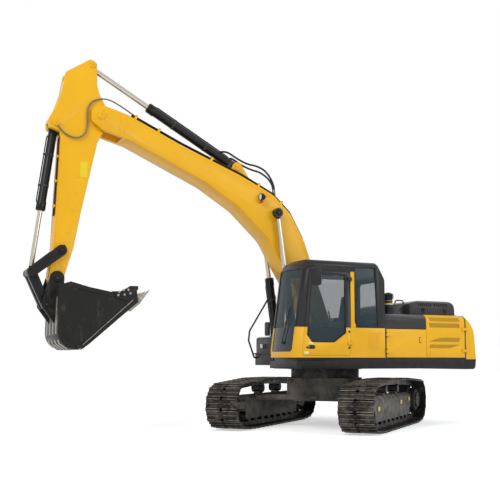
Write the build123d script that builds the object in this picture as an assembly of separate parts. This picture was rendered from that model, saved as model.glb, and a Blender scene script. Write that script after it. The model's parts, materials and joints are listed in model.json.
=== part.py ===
from build123d import *
import os
from math import atan2, cos, hypot, pi, sin, sqrt

# Crawler excavator of about 21 tonnes, with its boom raised and its bucket curled under.
# Millimetres. X points forward along the boom, Y to the cab side and Z up.
# The origin is on the ground, under the slew axis.

os.makedirs("parts", exist_ok=True)

# Undercarriage, in its own frame, which is turned under the upper structure
TRACK_YAW = 42.8
GAUGE = 2380
SHOE_WIDTH = 600
SHOE_COUNT = 46
SHOE_PLATE = 12
GROUSER = 26
RAIL_HEIGHT = 88
RAIL_INNER = 44
RAIL_OUTER = 84
TUMBLER_SPACING = 3450
IDLER_Z = 425
IDLER_R = 374
SPROCKET_Z = 440
SPROCKET_R = 379
ROLLER_SPAN = 2700
ROLLER_COUNT = 8
ROLLER_R = 80
CARRIER_SPAN = 1000
CARRIER_TOP = 874
CARRIER_R = 65
CARRIER_GAP = 2
FRAME_WIDTH = 250
FRAME_TOP = 600
FRAME_BOTTOM = 250
BODY_BOTTOM = 480
BODY_TOP = 900
RING_R = 640
RING_TOP = 1060
RUN_GAP = 0.3
ARM_PLATE = 12
GUARD_PLATE = 14
ROLLER_FLANGE = 16
ROLLER_SEAT = FRAME_WIDTH / 2 - 3 - GUARD_PLATE - RUN_GAP

# Upper structure
HOUSE_HALF = 1366
DECK_BOTTOM = 1075
SILL = 1270
HOUSE_TOP = 2060
SHOULDER_ROUND = 130
TAIL_R = 2822
TAIL_TOP = 2100
TAIL_ROUND = 450
CAB_REAR = -468
DOOR_SEAM = -1353
TAIL_SEAM = -2242
SHOULDER_Z = 1785
BOX_REAR = 470
BOX_FRONT = 805
STEP_Z = 1372
LID_REAR = 540
LID_Z = 1645
FUEL_TOP = 1960
SHEET = 30
PANEL_GAP = 8
DOOR_PLAY = 5
JAMB = 14
SHOULDER_IN = HOUSE_HALF - SHOULDER_ROUND - 5
HOUSE_FRONT = CAB_REAR - PANEL_GAP
HOOD_LEFT = 1205
HOOD_RIGHT = -620
HOOD_FRONT = -1117
HOOD_REAR = -2118
HOOD_TOP = 2325
COVER_TOP = 2255
RAIL_R = 17
LEFT_MIRROR = (1127, 1745, 2610)
RIGHT_MIRROR = (500, -1490, 1865)
MIRROR_HALF = 90
MIRROR_TALL = 140
EYE_X = -2325
EYE_Y = 450
EYE_RISE = 60
EYE_RIM = 60
EYE_BORE = 30
EYE_PLATE = 40
TOW_BORE = 35
TOW_PLATE = 50
TOW_X = 660
TOW_Z = 520
EXHAUST = (-1700, -1010)
COVER_REAR = HOOD_FRONT + 12
COVER_FRONT = -836
COVER_LEFT = 1050

# Hinges of doors and lids, whose pins stand a little off the panels
HINGE_OUT = 15
HINGE_PIN_R = 7
HINGE_HALF = 45
HINGE_TAB = 12
HINGE_REACH = JAMB + PANEL_GAP / 2
HINGE_LEAF = 70
HINGE_SUNK = 3
HINGE_PLAY = 5

# Cab
CAB_INNER = 450
CAB_ROOF = 2960
CAB_WALL = 45
CAB_SPLIT = 1790
GLASS_INSET = 14
GLASS = 6
CAB_NOSE = 1500
REAR_LEAN = 176
REAR_LEAN_HEIGHT = 300
CAB_ROOF_ROUND = 90
CAB_SPARE = 60
CONSOLE_PLAY = 63
CONSOLE_WIDTH = 100
SEAT_GAP = 20
SEAT_Z = 1700
SEAT_THICK = 120
CONSOLE_Z = 1900

# Boom, arm and bucket pins in the plane of the boom
FOOT = (99, 1715)
TIP = (4429, 5391)
ARM_REAR = (4581, 6264)
ARM_TIP = (5118, 2569)
BUCKET_CYL_BASE = (5179, 5181)
ROCKER_PIVOT = (5053, 3033)
ROCKER_END = (5523, 2658)
BUCKET_LINK = (5287, 2132)
BOOM_CYL_BASE = (800, 1350)
BOOM_CYL_PIN = (1160, 3915)
ARM_CYL_BASE = (1849, 4753)

BOOM_HALF = 260
ARM_HALF = 170
PLATE = 14
SIDE_GAP = 6
BOOM_CYL_Y = 352
BARREL_R = 75
ROD_R = 43
ARM_BARREL_R = 82
ARM_ROD_R = 48
BUCKET_BARREL_R = 72
BUCKET_ROD_R = 40
BOOM_BARREL_LENGTH = 1440
ARM_BARREL_LENGTH = 1930
BUCKET_BARREL_LENGTH = 1480
BOOM_ROD_INSIDE = 345
ARM_ROD_INSIDE = 680
BUCKET_ROD_INSIDE = 230
EYE_HALF = 50
EYE_R = 88
NECK = 170
PIN_R = 40

BUCKET_HALF = 560
BUCKET_PLATE = 24
TOOTH_COUNT = 5
EAR_INNER = 178
EAR_OUTER = 226

# Oil lines of the boom
PIPE_R = 13
PIPE_YS = (130, 185)
LAMP = (1475, 4190)


def belt(circles):
    """Lines and arcs of a tight belt that runs anticlockwise round circles (x, z, r)."""
    count = len(circles)
    normals = []
    for i in range(count):
        x0, z0, r0 = circles[i]
        x1, z1, r1 = circles[(i + 1) % count]
        span = hypot(x1 - x0, z1 - z0)
        dx, dz = (x1 - x0) / span, (z1 - z0) / span
        lean = (r0 - r1) / span
        side = sqrt(1 - lean * lean)
        normals.append((dx * lean + dz * side, dz * lean - dx * side))
    pieces = []
    for i in range(count):
        x, z, r = circles[i]
        start = atan2(normals[i - 1][1], normals[i - 1][0])
        turn = (atan2(normals[i][1], normals[i][0]) - start) % (2 * pi)
        if r > 0 and turn > 1e-6:
            pieces.append(("arc", x, z, r, start, turn))
        x1, z1, r1 = circles[(i + 1) % count]
        nx, nz = normals[i]
        pieces.append(("line", x + r * nx, z + r * nz, x1 + r1 * nx, z1 + r1 * nz, (nx, nz)))
    return pieces


def belt_face(circles):
    """The flat area inside a belt, in the plane's own x and z."""
    edges = []
    for piece in belt(circles):
        if piece[0] == "line":
            edges.append(Line((piece[1], piece[2]), (piece[3], piece[4])))
            continue
        _, x, z, r, start, turn = piece
        spots = [(x + r * cos(start + turn * k / 2), z + r * sin(start + turn * k / 2)) for k in range(3)]
        edges.append(ThreePointArc(*spots))
    return make_face(edges)


def belt_length(pieces):
    """Whole length of a belt."""
    total = 0
    for piece in pieces:
        if piece[0] == "line":
            total += hypot(piece[3] - piece[1], piece[4] - piece[2])
        else:
            total += piece[3] * piece[5]
    return total


def belt_point(pieces, distance):
    """Point of a belt at a distance along it."""
    for piece in pieces:
        if piece[0] == "line":
            length = hypot(piece[3] - piece[1], piece[4] - piece[2])
            if distance <= length:
                share = distance / length
                return piece[1] + (piece[3] - piece[1]) * share, piece[2] + (piece[4] - piece[2]) * share
        else:
            length = piece[3] * piece[5]
            if distance <= length:
                angle = piece[4] + distance / piece[3]
                return piece[1] + piece[3] * cos(angle), piece[2] + piece[3] * sin(angle)
        distance -= length
    return belt_point(pieces, 0)


def thick(face, y_low, y_high):
    """A face drawn in x and z, made thick from y_low to y_high."""
    return extrude(Plane.XZ.offset(-y_high) * face, y_high - y_low, dir=(0, -1, 0))


def outline(points):
    """A closed face of (x, z) or (x, z, corner radius) points."""
    spots = [point[:2] for point in points]
    if all(len(point) == 2 for point in points):
        return make_face(Polyline(*spots, close=True))
    radii = [point[2] if len(point) > 2 else 0 for point in points]
    return make_face(FilletPolyline(*spots, radius=radii, close=True))


def slab(points, y_low, y_high):
    """A plate with an outline in x and z."""
    return thick(outline(points), y_low, y_high)


def layer(points, z_low, z_high):
    """A plate with an outline in x and y."""
    return extrude(Plane.XY.offset(z_low) * outline(points), z_high - z_low, dir=(0, 0, 1))


def wall(points, x_low, x_high):
    """A plate with an outline in y and z."""
    return extrude(Plane.YZ.offset(x_low) * outline(points), x_high - x_low, dir=(1, 0, 0))


def block(x_low, x_high, y_low, y_high, z_low, z_high):
    """A plain box between two corners."""
    size = (x_high - x_low, y_high - y_low, z_high - z_low)
    middle = ((x_low + x_high) / 2, (y_low + y_high) / 2, (z_low + z_high) / 2)
    return Pos(*middle) * Box(*size)


def pin(spot, radius, y_low, y_high):
    """A round pin along Y at a spot (x, z)."""
    base = Plane(origin=(spot[0], y_low, spot[1]), x_dir=(1, 0, 0), z_dir=(0, 1, 0))
    return base * Cylinder(radius, y_high - y_low, align=(Align.CENTER, Align.CENTER, Align.MIN))


def bar(start, end, radius, y, first=0, last=None):
    """A round bar from start towards end, from first to last along that line."""
    span = hypot(end[0] - start[0], end[1] - start[1])
    last = span if last is None else last
    way = ((end[0] - start[0]) / span, 0, (end[1] - start[1]) / span)
    base = Plane(origin=(start[0], y, start[1]), x_dir=(0, 1, 0), z_dir=way)
    rod = Cylinder(radius, last - first, align=(Align.CENTER, Align.CENTER, Align.MIN))
    return base * (Pos(0, 0, first) * rod)


def both_sides(maker):
    """The same plate on +Y and on -Y."""
    return maker(1) + maker(-1)


def sided(face, y_near, y_far, side):
    """A face made thick between two distances from the middle plane, on one side."""
    low, high = (y_near, y_far) if side > 0 else (-y_far, -y_near)
    return thick(face, low, high)


def save(name, part):
    """Write one named piece."""
    export_step(part, f"parts/{name}.step")


# Undercarriage

def shoe_path():
    """The belt that the outer faces of the shoe plates follow."""
    half = TUMBLER_SPACING / 2
    turn_r = 150
    low = GROUSER + turn_r
    high = CARRIER_TOP - turn_r
    return belt([
        (-ROLLER_SPAN / 2, low, turn_r),
        (ROLLER_SPAN / 2, low, turn_r),
        (half, IDLER_Z, IDLER_R),
        (CARRIER_SPAN / 2, high, turn_r),
        (-CARRIER_SPAN / 2, high, turn_r),
        (-half, SPROCKET_Z, SPROCKET_R),
    ])


# Columns: share of the shoe's length, share of the grouser's height
SHOE_PROFILE = [
    (0.00, 0.0), (0.03, 1.0), (0.10, 1.0), (0.15, 0.06),
    (0.43, 0.06), (0.46, 0.85), (0.52, 0.85), (0.55, 0.06),
    (0.83, 0.06), (0.87, 0.9), (0.94, 0.9), (0.98, 0.0),
]


def shoe_corners():
    """Where neighbouring shoes meet, on their outer faces."""
    path = shoe_path()
    pitch = belt_length(path) / SHOE_COUNT
    return [belt_point(path, pitch * i) for i in range(SHOE_COUNT)]


def inset_ring(corners, depth):
    """The ring of corners moved in by a depth."""
    ring = []
    for i, (x, z) in enumerate(corners):
        x0, z0 = corners[i - 1]
        x1, z1 = corners[(i + 1) % len(corners)]
        span = hypot(x1 - x0, z1 - z0)
        ring.append((x - (z1 - z0) / span * depth, z + (x1 - x0) / span * depth))
    return ring


def track(side):
    """One endless track: shoes with three grousers on two rails of links."""
    corners = shoe_corners()
    tread = []
    for i, (x0, z0) in enumerate(corners):
        x1, z1 = corners[(i + 1) % SHOE_COUNT]
        span = hypot(x1 - x0, z1 - z0)
        dx, dz = (x1 - x0) / span, (z1 - z0) / span
        for share, rise in SHOE_PROFILE:
            along = share * span
            out = rise * GROUSER
            tread.append((x0 + dx * along + dz * out, z0 + dz * along - dx * out))
    plate_in = inset_ring(corners, SHOE_PLATE)
    rail_in = inset_ring(corners, SHOE_PLATE + RAIL_HEIGHT)
    rail_out = inset_ring(corners, SHOE_PLATE - 1)
    middle = side * GAUGE / 2
    shoes = slab(tread, middle - SHOE_WIDTH / 2, middle + SHOE_WIDTH / 2)
    shoes -= slab(plate_in, middle - SHOE_WIDTH / 2 - 1, middle + SHOE_WIDTH / 2 + 1)
    rail_face = outline(rail_out) - outline(rail_in)
    for low, high in ((-RAIL_OUTER, -RAIL_INNER), (RAIL_INNER, RAIL_OUTER)):
        shoes += thick(rail_face, middle + low, middle + high)
    return shoes


def tread_radius(outer):
    """Radius of a wheel that the rails of the track run on."""
    half_turn = pi * outer / (belt_length(shoe_path()) / SHOE_COUNT)
    flat = outer * cos(pi / 2 / half_turn)
    return flat - SHOE_PLATE - RAIL_HEIGHT - 3


def idler(side):
    """Front wheel with its middle flange between the rails."""
    middle = side * GAUGE / 2
    spot = (TUMBLER_SPACING / 2, IDLER_Z)
    tread = tread_radius(IDLER_R)
    wheel = pin(spot, tread, middle - RAIL_OUTER, middle + RAIL_OUTER)
    wheel += pin(spot, tread + 22, middle - RAIL_INNER + 6, middle + RAIL_INNER - 6)
    for low, high in ((-RAIL_OUTER - 1, -RAIL_OUTER + 45), (RAIL_OUTER - 45, RAIL_OUTER + 1)):
        wheel -= pin(spot, tread - 40, middle + low, middle + high)
    axle = FRAME_WIDTH / 2 - ARM_PLATE - RUN_GAP
    wheel += pin(spot, 85, middle - axle, middle + axle)
    return wheel


def sprocket(side):
    """Rear wheel with teeth, and its final drive housing outside."""
    middle = side * GAUGE / 2
    spot = (-TUMBLER_SPACING / 2, SPROCKET_Z)
    tread = tread_radius(SPROCKET_R)
    teeth = 21
    points = []
    for i in range(teeth):
        for share, rise in ((0.0, 0), (0.25, 0), (0.4, 34), (0.6, 34), (0.75, 0)):
            angle = 2 * pi * (i + share) / teeth
            r = tread - 12 + rise
            points.append((spot[0] + r * cos(angle), spot[1] + r * sin(angle)))
    wheel = slab(points, middle - RAIL_INNER + 6, middle + RAIL_INNER - 6)
    outward = 1 if side > 0 else -1
    near, far = sorted((middle, middle + outward * 165))
    wheel += pin(spot, 205, near, far)
    near, far = sorted((middle + outward * 160, middle + outward * 205))
    wheel += pin(spot, 150, near, far)
    near, far = sorted((middle, middle - outward * (FRAME_WIDTH / 2 - 8 - RUN_GAP)))
    wheel += pin(spot, 190, near, far)
    return wheel


def rail_surface():
    """Height of the rails that the lower rollers stand on."""
    return GROUSER + SHOE_PLATE + RAIL_HEIGHT


def rollers(side):
    """Lower rollers and carrier rollers."""
    middle = side * GAUGE / 2
    pitch = ROLLER_SPAN / (ROLLER_COUNT + 0.4)
    spots = []
    for i in range(ROLLER_COUNT):
        x = (i - (ROLLER_COUNT - 1) / 2) * pitch
        spots.append((x, rail_surface() + ROLLER_R + RUN_GAP, ROLLER_R))
    for x in (-CARRIER_SPAN / 2 + 60, CARRIER_SPAN / 2 - 60):
        top = CARRIER_TOP - SHOE_PLATE - RAIL_HEIGHT
        spots.append((x, top - CARRIER_R - CARRIER_GAP, CARRIER_R))
    group = None
    for x, z, radius in spots:
        roller = pin((x, z), radius, middle - RAIL_OUTER - 3, middle + RAIL_OUTER + 3)
        for low, high in ((-ROLLER_SEAT, -RAIL_OUTER - 3), (RAIL_OUTER + 3, ROLLER_SEAT)):
            roller += pin((x, z), radius + ROLLER_FLANGE, middle + low, middle + high)
        group = roller if group is None else group + roller
    return group


def track_frame(side):
    """Box beam between idler and sprocket, with arms to the idler's axle."""
    middle = side * GAUGE / 2
    half = FRAME_WIDTH / 2
    section = [
        (middle - half, FRAME_BOTTOM + 60), (middle + half, FRAME_BOTTOM + 60),
        (middle + half, FRAME_TOP - 60), (middle + half - 60, FRAME_TOP),
        (middle - half + 60, FRAME_TOP), (middle - half, FRAME_TOP - 60),
    ]
    front = TUMBLER_SPACING / 2 - IDLER_R - 40
    rear = -TUMBLER_SPACING / 2 + SPROCKET_R - 60
    beam = wall(section, rear, front)
    arm_z = IDLER_Z
    for low, high in ((-half, -half + ARM_PLATE), (half - ARM_PLATE, half)):
        beam += block(front - 1, TUMBLER_SPACING / 2 + 60, middle + low, middle + high, arm_z - 60, arm_z + 60)
    for x in (-CARRIER_SPAN / 2 + 60, CARRIER_SPAN / 2 - 60):
        under = CARRIER_TOP - SHOE_PLATE - RAIL_HEIGHT - CARRIER_GAP
        pad = under - 2 * CARRIER_R - RUN_GAP
        beam += block(x - 60, x + 60, middle - half + 60, middle + half - 60, FRAME_TOP - 5, pad)
    for y in (-half + 3, half - 3 - GUARD_PLATE):
        foot = rail_surface() + ROLLER_R
        beam += block(-ROLLER_SPAN / 2 + 20, ROLLER_SPAN / 2 - 60, middle + y, middle + y + GUARD_PLATE,
                      foot - 30, FRAME_BOTTOM + 70)
    drive = (-TUMBLER_SPACING / 2, SPROCKET_Z)
    inner = middle - (1 if side > 0 else -1) * (half - 8)
    low, high = sorted((inner, inner - (1 if side > 0 else -1) * 25))
    web = [(rear + 2, FRAME_BOTTOM + 60), (rear + 2, FRAME_TOP - 60), (drive[0], SPROCKET_Z + 170),
           (drive[0] - 150, SPROCKET_Z), (drive[0], SPROCKET_Z - 170)]
    beam += slab(web, low, high)
    return beam


def car_body():
    """Middle box with four legs that reach both track frames."""
    reach = GAUGE / 2 - FRAME_WIDTH / 2 - RUN_GAP
    plan = [
        (560, -260), (560, 260), (900, reach), (430, reach), (250, 560), (-250, 560),
        (-430, reach), (-900, reach), (-560, 260), (-560, -260), (-900, -reach),
        (-430, -reach), (-250, -560), (250, -560), (430, -reach), (900, -reach),
    ]
    legs = layer(plan, BODY_BOTTOM + 20, FRAME_TOP - 10)
    middle = layer([(600, -600, 180), (600, 600, 180), (-600, 600, 180), (-600, -600, 180)],
                   BODY_BOTTOM, BODY_TOP)
    face = belt_face([(500, -60, 10), (500, 60, 10), (TOW_X, 0, 75)]) - Pos(TOW_X, 0) * Circle(TOW_BORE)
    eye = extrude(Plane.XY.offset(TOW_Z) * face, TOW_PLATE, dir=(0, 0, 1))
    return legs + middle + eye


def slew_ring():
    """Toothed bearing between the two structures."""
    ring = Pos(0, 0, (BODY_TOP + RING_TOP) / 2 + RUN_GAP) * Cylinder(RING_R, RING_TOP - BODY_TOP)
    return ring - Pos(0, 0, RING_TOP) * Cylinder(RING_R - 120, 4 * (RING_TOP - BODY_TOP))


def save_undercarriage():
    """Turn the undercarriage's pieces to their place and write them."""
    turn = Rot(0, 0, TRACK_YAW)
    save("car_body", turn * car_body())
    save("slew_ring", turn * slew_ring())
    for label, side in (("left", 1), ("right", -1)):
        save(f"track_{label}", turn * track(side))
        save(f"idler_{label}", turn * idler(side))
        save(f"sprocket_{label}", turn * sprocket(side))
        save(f"rollers_{label}", turn * rollers(side))
        save(f"track_frame_{label}", turn * track_frame(side))


# Upper structure

def deck():
    """Revolving frame with the skirts and the plates that carry the boom."""
    inner = CAB_INNER - 20
    body = layer([(TAIL_SEAM, -HOUSE_HALF), (BOX_REAR, -HOUSE_HALF), (BOX_REAR, -inner),
                  (950, -inner), (950, inner), (1275, inner), (1275, HOUSE_HALF, 60),
                  (TAIL_SEAM, HOUSE_HALF)], DECK_BOTTOM, SILL - 60)
    body += block(TAIL_SEAM, BOX_REAR, -HOUSE_HALF, -inner, SILL - 61, SILL)
    body += block(TAIL_SEAM, 1275, inner, HOUSE_HALF, SILL - 61, SILL)
    ear = belt_face([(BOOM_CYL_BASE[0] - 110, SILL - 70, 1), (BOOM_CYL_BASE[0] + 110, SILL - 70, 1),
                     (BOOM_CYL_BASE[0], BOOM_CYL_BASE[1], 85)])
    bracket = belt_face([(-900, SILL - 80, 10), (480, SILL - 80, 10), (FOOT[0], FOOT[1], 150)])
    for side in (1, -1):
        body += sided(bracket, BOOM_HALF + 12, BOOM_HALF + 42, side)
        body += sided(ear, BOOM_HALF + 12, BOOM_HALF + 42, side)
        body += sided(ear, BOOM_CYL_Y + 38, BOOM_CYL_Y + 60, side)
        low, high = sorted((side * (BOOM_HALF + 10), side * (BOOM_CYL_Y + 70)))
        body += pin(BOOM_CYL_BASE, PIN_R, low, high)
    body += pin(FOOT, PIN_R + 5, -BOOM_HALF - 60, BOOM_HALF + 60)
    seat = RING_TOP + 2 * RUN_GAP
    return body + Pos(0, 0, (seat + DECK_BOTTOM + 1) / 2) * Cylinder(RING_R + 60, DECK_BOTTOM + 1 - seat)


def counterweight():
    """Tail casting with a round back that leans in over its shoulder, and two lifting eyes."""
    low = DECK_BOTTOM - 15
    profile = outline([(0, low), (TAIL_R - 20, low, 60), (TAIL_R, SILL - 20), (TAIL_R - 60, TAIL_TOP, TAIL_ROUND),
                       (0, TAIL_TOP)])
    drum = revolve(Plane.XZ * profile, Axis.Z, 360)
    tail = drum & block(-TAIL_R - 1, TAIL_SEAM - RUN_GAP, -HOUSE_HALF, HOUSE_HALF, low - 1, TAIL_TOP + 1)
    for side in (1, -1):
        ear = belt_face([(EYE_X - 95, TAIL_TOP - 40, 10), (EYE_X + 60, TAIL_TOP - 40, 10),
                         (EYE_X, TAIL_TOP + EYE_RISE, EYE_RIM)])
        ear -= Pos(EYE_X, TAIL_TOP + EYE_RISE) * Circle(EYE_BORE)
        tail += sided(ear, EYE_Y - EYE_PLATE / 2, EYE_Y + EYE_PLATE / 2, side)
    return tail


def engine_block():
    """The engine as one heavy block."""
    return block(-2050, -1250, -420, 420, SILL - 60 + RUN_GAP, 2000)


COVER_SIDE = [(COVER_REAR, HOUSE_TOP - 1), (COVER_REAR, COVER_TOP + 15, 20), (COVER_FRONT - 4, COVER_TOP - 15, 50),
              (COVER_FRONT, HOUSE_TOP - 1)]


def hinge_pin():
    """A hinge pin between two tabs. The panel is below it in y, and its fixed side is at +x."""
    group = Cylinder(HINGE_PIN_R, 2 * HINGE_HALF)
    for end in (-HINGE_HALF, HINGE_HALF - HINGE_TAB):
        group += block(-HINGE_PIN_R, HINGE_REACH, -HINGE_OUT + 4, HINGE_PIN_R, end, end + HINGE_TAB)
        group += block(PANEL_GAP / 2, HINGE_REACH, -HINGE_OUT - HINGE_SUNK, HINGE_PIN_R, end, end + HINGE_TAB)
    return group


def hinge_knuckle(leaf_low, leaf):
    """A knuckle on such a pin, with a leaf at -x from leaf_low up."""
    half = HINGE_HALF - HINGE_TAB - HINGE_PLAY
    plate = block(-leaf, 0, leaf_low, HINGE_PIN_R + 4, -half, half)
    plate -= block(-PANEL_GAP - 6, 1, -HINGE_OUT - HINGE_SUNK - 1, -HINGE_OUT + 4, -half - 1, half + 1)
    knuckle = plate + Cylinder(HINGE_PIN_R + 6, 2 * half)
    return knuckle - Cylinder(HINGE_PIN_R + RUN_GAP, 4 * HINGE_HALF)


FRONT_DOOR_HINGE = HOUSE_FRONT - JAMB - PANEL_GAP / 2
REAR_DOOR_HINGE = TAIL_SEAM + 2 + JAMB + PANEL_GAP / 2
OUTSIDE = HOUSE_HALF + HINGE_OUT
# Columns: points of the axis, direction to the fixed panel, outward direction
HINGES = {
    "cab_door": (((230, OUTSIDE, 1520), (230, OUTSIDE, 2640)), (-1, 0, 0), (0, 1, 0)),
    "side_door_front": (((FRONT_DOOR_HINGE, OUTSIDE, 1380), (FRONT_DOOR_HINGE, OUTSIDE, 1680)), (1, 0, 0), (0, 1, 0)),
    "side_door_rear": (((REAR_DOOR_HINGE, OUTSIDE, 1400), (REAR_DOOR_HINGE, OUTSIDE, 1800)), (-1, 0, 0), (0, 1, 0)),
    "pump_door": (((REAR_DOOR_HINGE, -OUTSIDE, 1400), (REAR_DOOR_HINGE, -OUTSIDE, 1800)), (-1, 0, 0), (0, -1, 0)),
    "engine_hood": (((-1320, HOOD_RIGHT - 20, HOUSE_TOP + HINGE_OUT), (-1920, HOOD_RIGHT - 20, HOUSE_TOP + HINGE_OUT)),
                    (0, -1, 0), (0, 0, 1)),
    "toolbox_lid": (((LID_REAR - 2.5, -700, LID_Z + 45 + HINGE_OUT), (LID_REAR - 2.5, -1150, LID_Z + 45 + HINGE_OUT)),
                    (-1, 0, 0), (0, 0, 1)),
}


def placed(name, shape):
    """A shape at each of a door's hinges."""
    spots, fixed, outward = HINGES[name]
    turn = Vector(*fixed).cross(Vector(*outward))
    group = None
    for spot in spots:
        piece = Plane(origin=spot, x_dir=fixed, z_dir=turn) * shape
        group = piece if group is None else group + piece
    return group


def pins(name):
    """The fixed pins of a door."""
    return placed(name, hinge_pin())


def with_knuckles(name, panel):
    """A door with the knuckles of its hinges."""
    return panel + placed(name, hinge_knuckle(-HINGE_OUT - HINGE_SUNK, HINGE_LEAF))


def shoulder_section(y_end, z_low, thickness, side):
    """Section of a side sheet that rounds over the shoulder and ends level at y_end."""
    inner = HOUSE_HALF - thickness
    top = HOUSE_TOP - thickness
    points = [(HOUSE_HALF, z_low), (HOUSE_HALF, HOUSE_TOP, SHOULDER_ROUND), (y_end, HOUSE_TOP), (y_end, top),
              (inner, top, SHOULDER_ROUND - thickness), (inner, z_low)]
    return [(side * point[0], *point[1:]) for point in points]


def house_frame():
    """Fixed panels round the engine: top, dark left shoulder, right wall, jambs and inner frames."""
    fixed = SHEET + 2 * DOOR_PLAY
    y_end = SHOULDER_IN - 3 * PANEL_GAP
    rear = TAIL_SEAM + 2
    frame = block(rear, HOUSE_FRONT, -y_end - 1, y_end + 1, HOUSE_TOP - fixed, HOUSE_TOP)
    for x_low, x_high, z_low, side in (
        (rear, rear + JAMB, SILL, 1), (rear, rear + JAMB, SILL, -1),
        (DOOR_SEAM + PANEL_GAP / 2, HOUSE_FRONT, SHOULDER_Z + PANEL_GAP / 2, 1),
        (DOOR_SEAM + PANEL_GAP / 2, HOUSE_FRONT, SILL, -1),
    ):
        frame += wall(shoulder_section(y_end, z_low, fixed, side), x_low, x_high)
    frame += block(HOUSE_FRONT - JAMB, HOUSE_FRONT, HOUSE_HALF - fixed, HOUSE_HALF, SILL, SHOULDER_Z + 10)
    inset = SHEET + DOOR_PLAY
    top = HOUSE_TOP - inset
    for side in (1, -1):
        post_section = [(side * 500, SILL), (side * (HOUSE_HALF - inset), SILL),
                        (side * (HOUSE_HALF - inset), top, SHOULDER_ROUND - inset), (side * 500, top)]
        for x in (rear, DOOR_SEAM - 20, HOUSE_FRONT - 30):
            frame += wall(post_section, x, x + 30)
    frame += slab(COVER_SIDE, 300, COVER_LEFT)
    for name in ("side_door_front", "side_door_rear", "pump_door", "engine_hood"):
        frame += pins(name)
    return frame


def hood_form(inset):
    """The hood's outer form, moved in by an inset."""
    low = HOUSE_TOP + RUN_GAP if inset == 0 else HOUSE_TOP - 1
    top = HOOD_TOP - inset
    rear, front = HOOD_REAR + inset, HOOD_FRONT - inset
    right, left = HOOD_RIGHT + inset, HOOD_LEFT - inset
    across = wall([(right, low), (left, low), (left - 12, top, 70 - inset), (right + 12, top, 70 - inset)], rear, front)
    along = slab([(rear, low), (front, low), (front, top - 52, 50 - inset), (front - 210, top, 200 - inset),
                  (rear, top, 150 - inset)], right, left)
    return across & along


def engine_hood():
    """Raised hood over the engine, with slots along its left side and its knuckles on the right."""
    hood = hood_form(0) - hood_form(SHEET)
    # Columns: first slot of a group, number of slots
    for x_first, count in ((-1320, 7), (-1680, 7)):
        for i in range(count):
            x = x_first - i * 44
            slot = [(x - 8, HOOD_TOP - 105), (x + 10, HOOD_TOP - 105), (x + 24, HOOD_TOP - 42), (x + 6, HOOD_TOP - 42)]
            hood -= slab(slot, HOOD_LEFT - SHEET - 45, HOOD_LEFT + 1)
    return hood + placed("engine_hood", hinge_knuckle(-8, 30))


def side_door_front():
    """The flat door between the cab and the louvred door."""
    panel = block(DOOR_SEAM + PANEL_GAP / 2, FRONT_DOOR_HINGE - PANEL_GAP / 2, HOUSE_HALF - SHEET, HOUSE_HALF,
                  SILL + DOOR_PLAY, SHOULDER_Z - PANEL_GAP / 2)
    return with_knuckles("side_door_front", panel)


# Columns: foot and head of the slots, lean of their heads, slots that grow in, slots that die out
LOUVRES = [
    (1935, 2008, 14, 0, 0),
    (1820, 1903, 14, 0, 0),
    (1562, 1640, -16, 5, 0),
    (1445, 1512, -16, 0, 5),
]
LOUVRE_COUNT = 17
LOUVRE_PITCH = 40
LOUVRE_START = DOOR_SEAM - 90


def louvre_door(name, side):
    """The rear side door, rounded over the shoulder, with its rows of slanted slots."""
    rear = REAR_DOOR_HINGE + PANEL_GAP / 2
    front = DOOR_SEAM - PANEL_GAP / 2
    panel = wall(shoulder_section(SHOULDER_IN, SILL + DOOR_PLAY, SHEET, side), rear, front)
    low, high = sorted((side * (HOUSE_HALF + 1), side * (HOUSE_HALF - SHEET - 55)))
    for foot, head, lean, grow, die in LOUVRES:
        for i in range(LOUVRE_COUNT):
            x = LOUVRE_START - i * LOUVRE_PITCH
            rise = min(1, (i + 1) / (grow + 1))
            fall = min(1, (LOUVRE_COUNT - i) / (die + 1))
            z0 = head - (head - foot) * fall
            z1 = foot + (head - foot) * rise
            slot = [(x - lean - 9, z0), (x - lean + 9, z0), (x + lean + 9, z1), (x + lean - 9, z1)]
            panel -= slab(slot, low, high)
    return with_knuckles(name, panel)


def tank(x_rear, x_front, z_top):
    """A tank with a round outer shoulder and a filler cap on top."""
    out, inner, low = -HOUSE_HALF + 5, -CAB_INNER, SILL + RUN_GAP
    body = wall([(out, low), (inner, low), (inner, z_top), (out, z_top, 70)], x_rear, x_front)
    x, y = (x_rear + x_front) / 2, (out + inner) / 2
    return body + post(x, y, 55, z_top - 1, z_top + 30) + post(x, y, 70, z_top + 30, z_top + 50)


def fuel_tank():
    """Tank behind the right front box."""
    return tank(-40, BOX_REAR, FUEL_TOP)


def hydraulic_tank():
    """Oil tank between the fuel tank and the pump bay."""
    return tank(CAB_REAR + 10, -50, HOUSE_TOP)


def toolbox():
    """Right front box with a step in front."""
    rear = BOX_REAR + RUN_GAP
    low, high = -HOUSE_HALF, -CAB_INNER - 20
    top = LID_Z + 45
    box = slab([(rear, SILL - 140), (BOX_FRONT + 25, SILL - 140), (BOX_FRONT + 25, STEP_Z - 35),
                (BOX_FRONT + 75, STEP_Z - 20), (BOX_FRONT + 75, STEP_Z), (BOX_FRONT, STEP_Z), (BOX_FRONT, LID_Z),
                (rear, LID_Z)], low, high)
    box += block(rear, LID_REAR - 5, low, high, LID_Z - 1, top)
    return box + pins("toolbox_lid")


def toolbox_lid():
    """Lid of the right front box."""
    z = LID_Z + RUN_GAP
    lid = slab([(LID_REAR, z), (BOX_FRONT, z), (BOX_FRONT - 10, z + 25, 20), (BOX_FRONT - 55, z + 45, 30),
                (LID_REAR, z + 45)], -HOUSE_HALF, -CAB_INNER - 20)
    return with_knuckles("toolbox_lid", lid)


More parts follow.
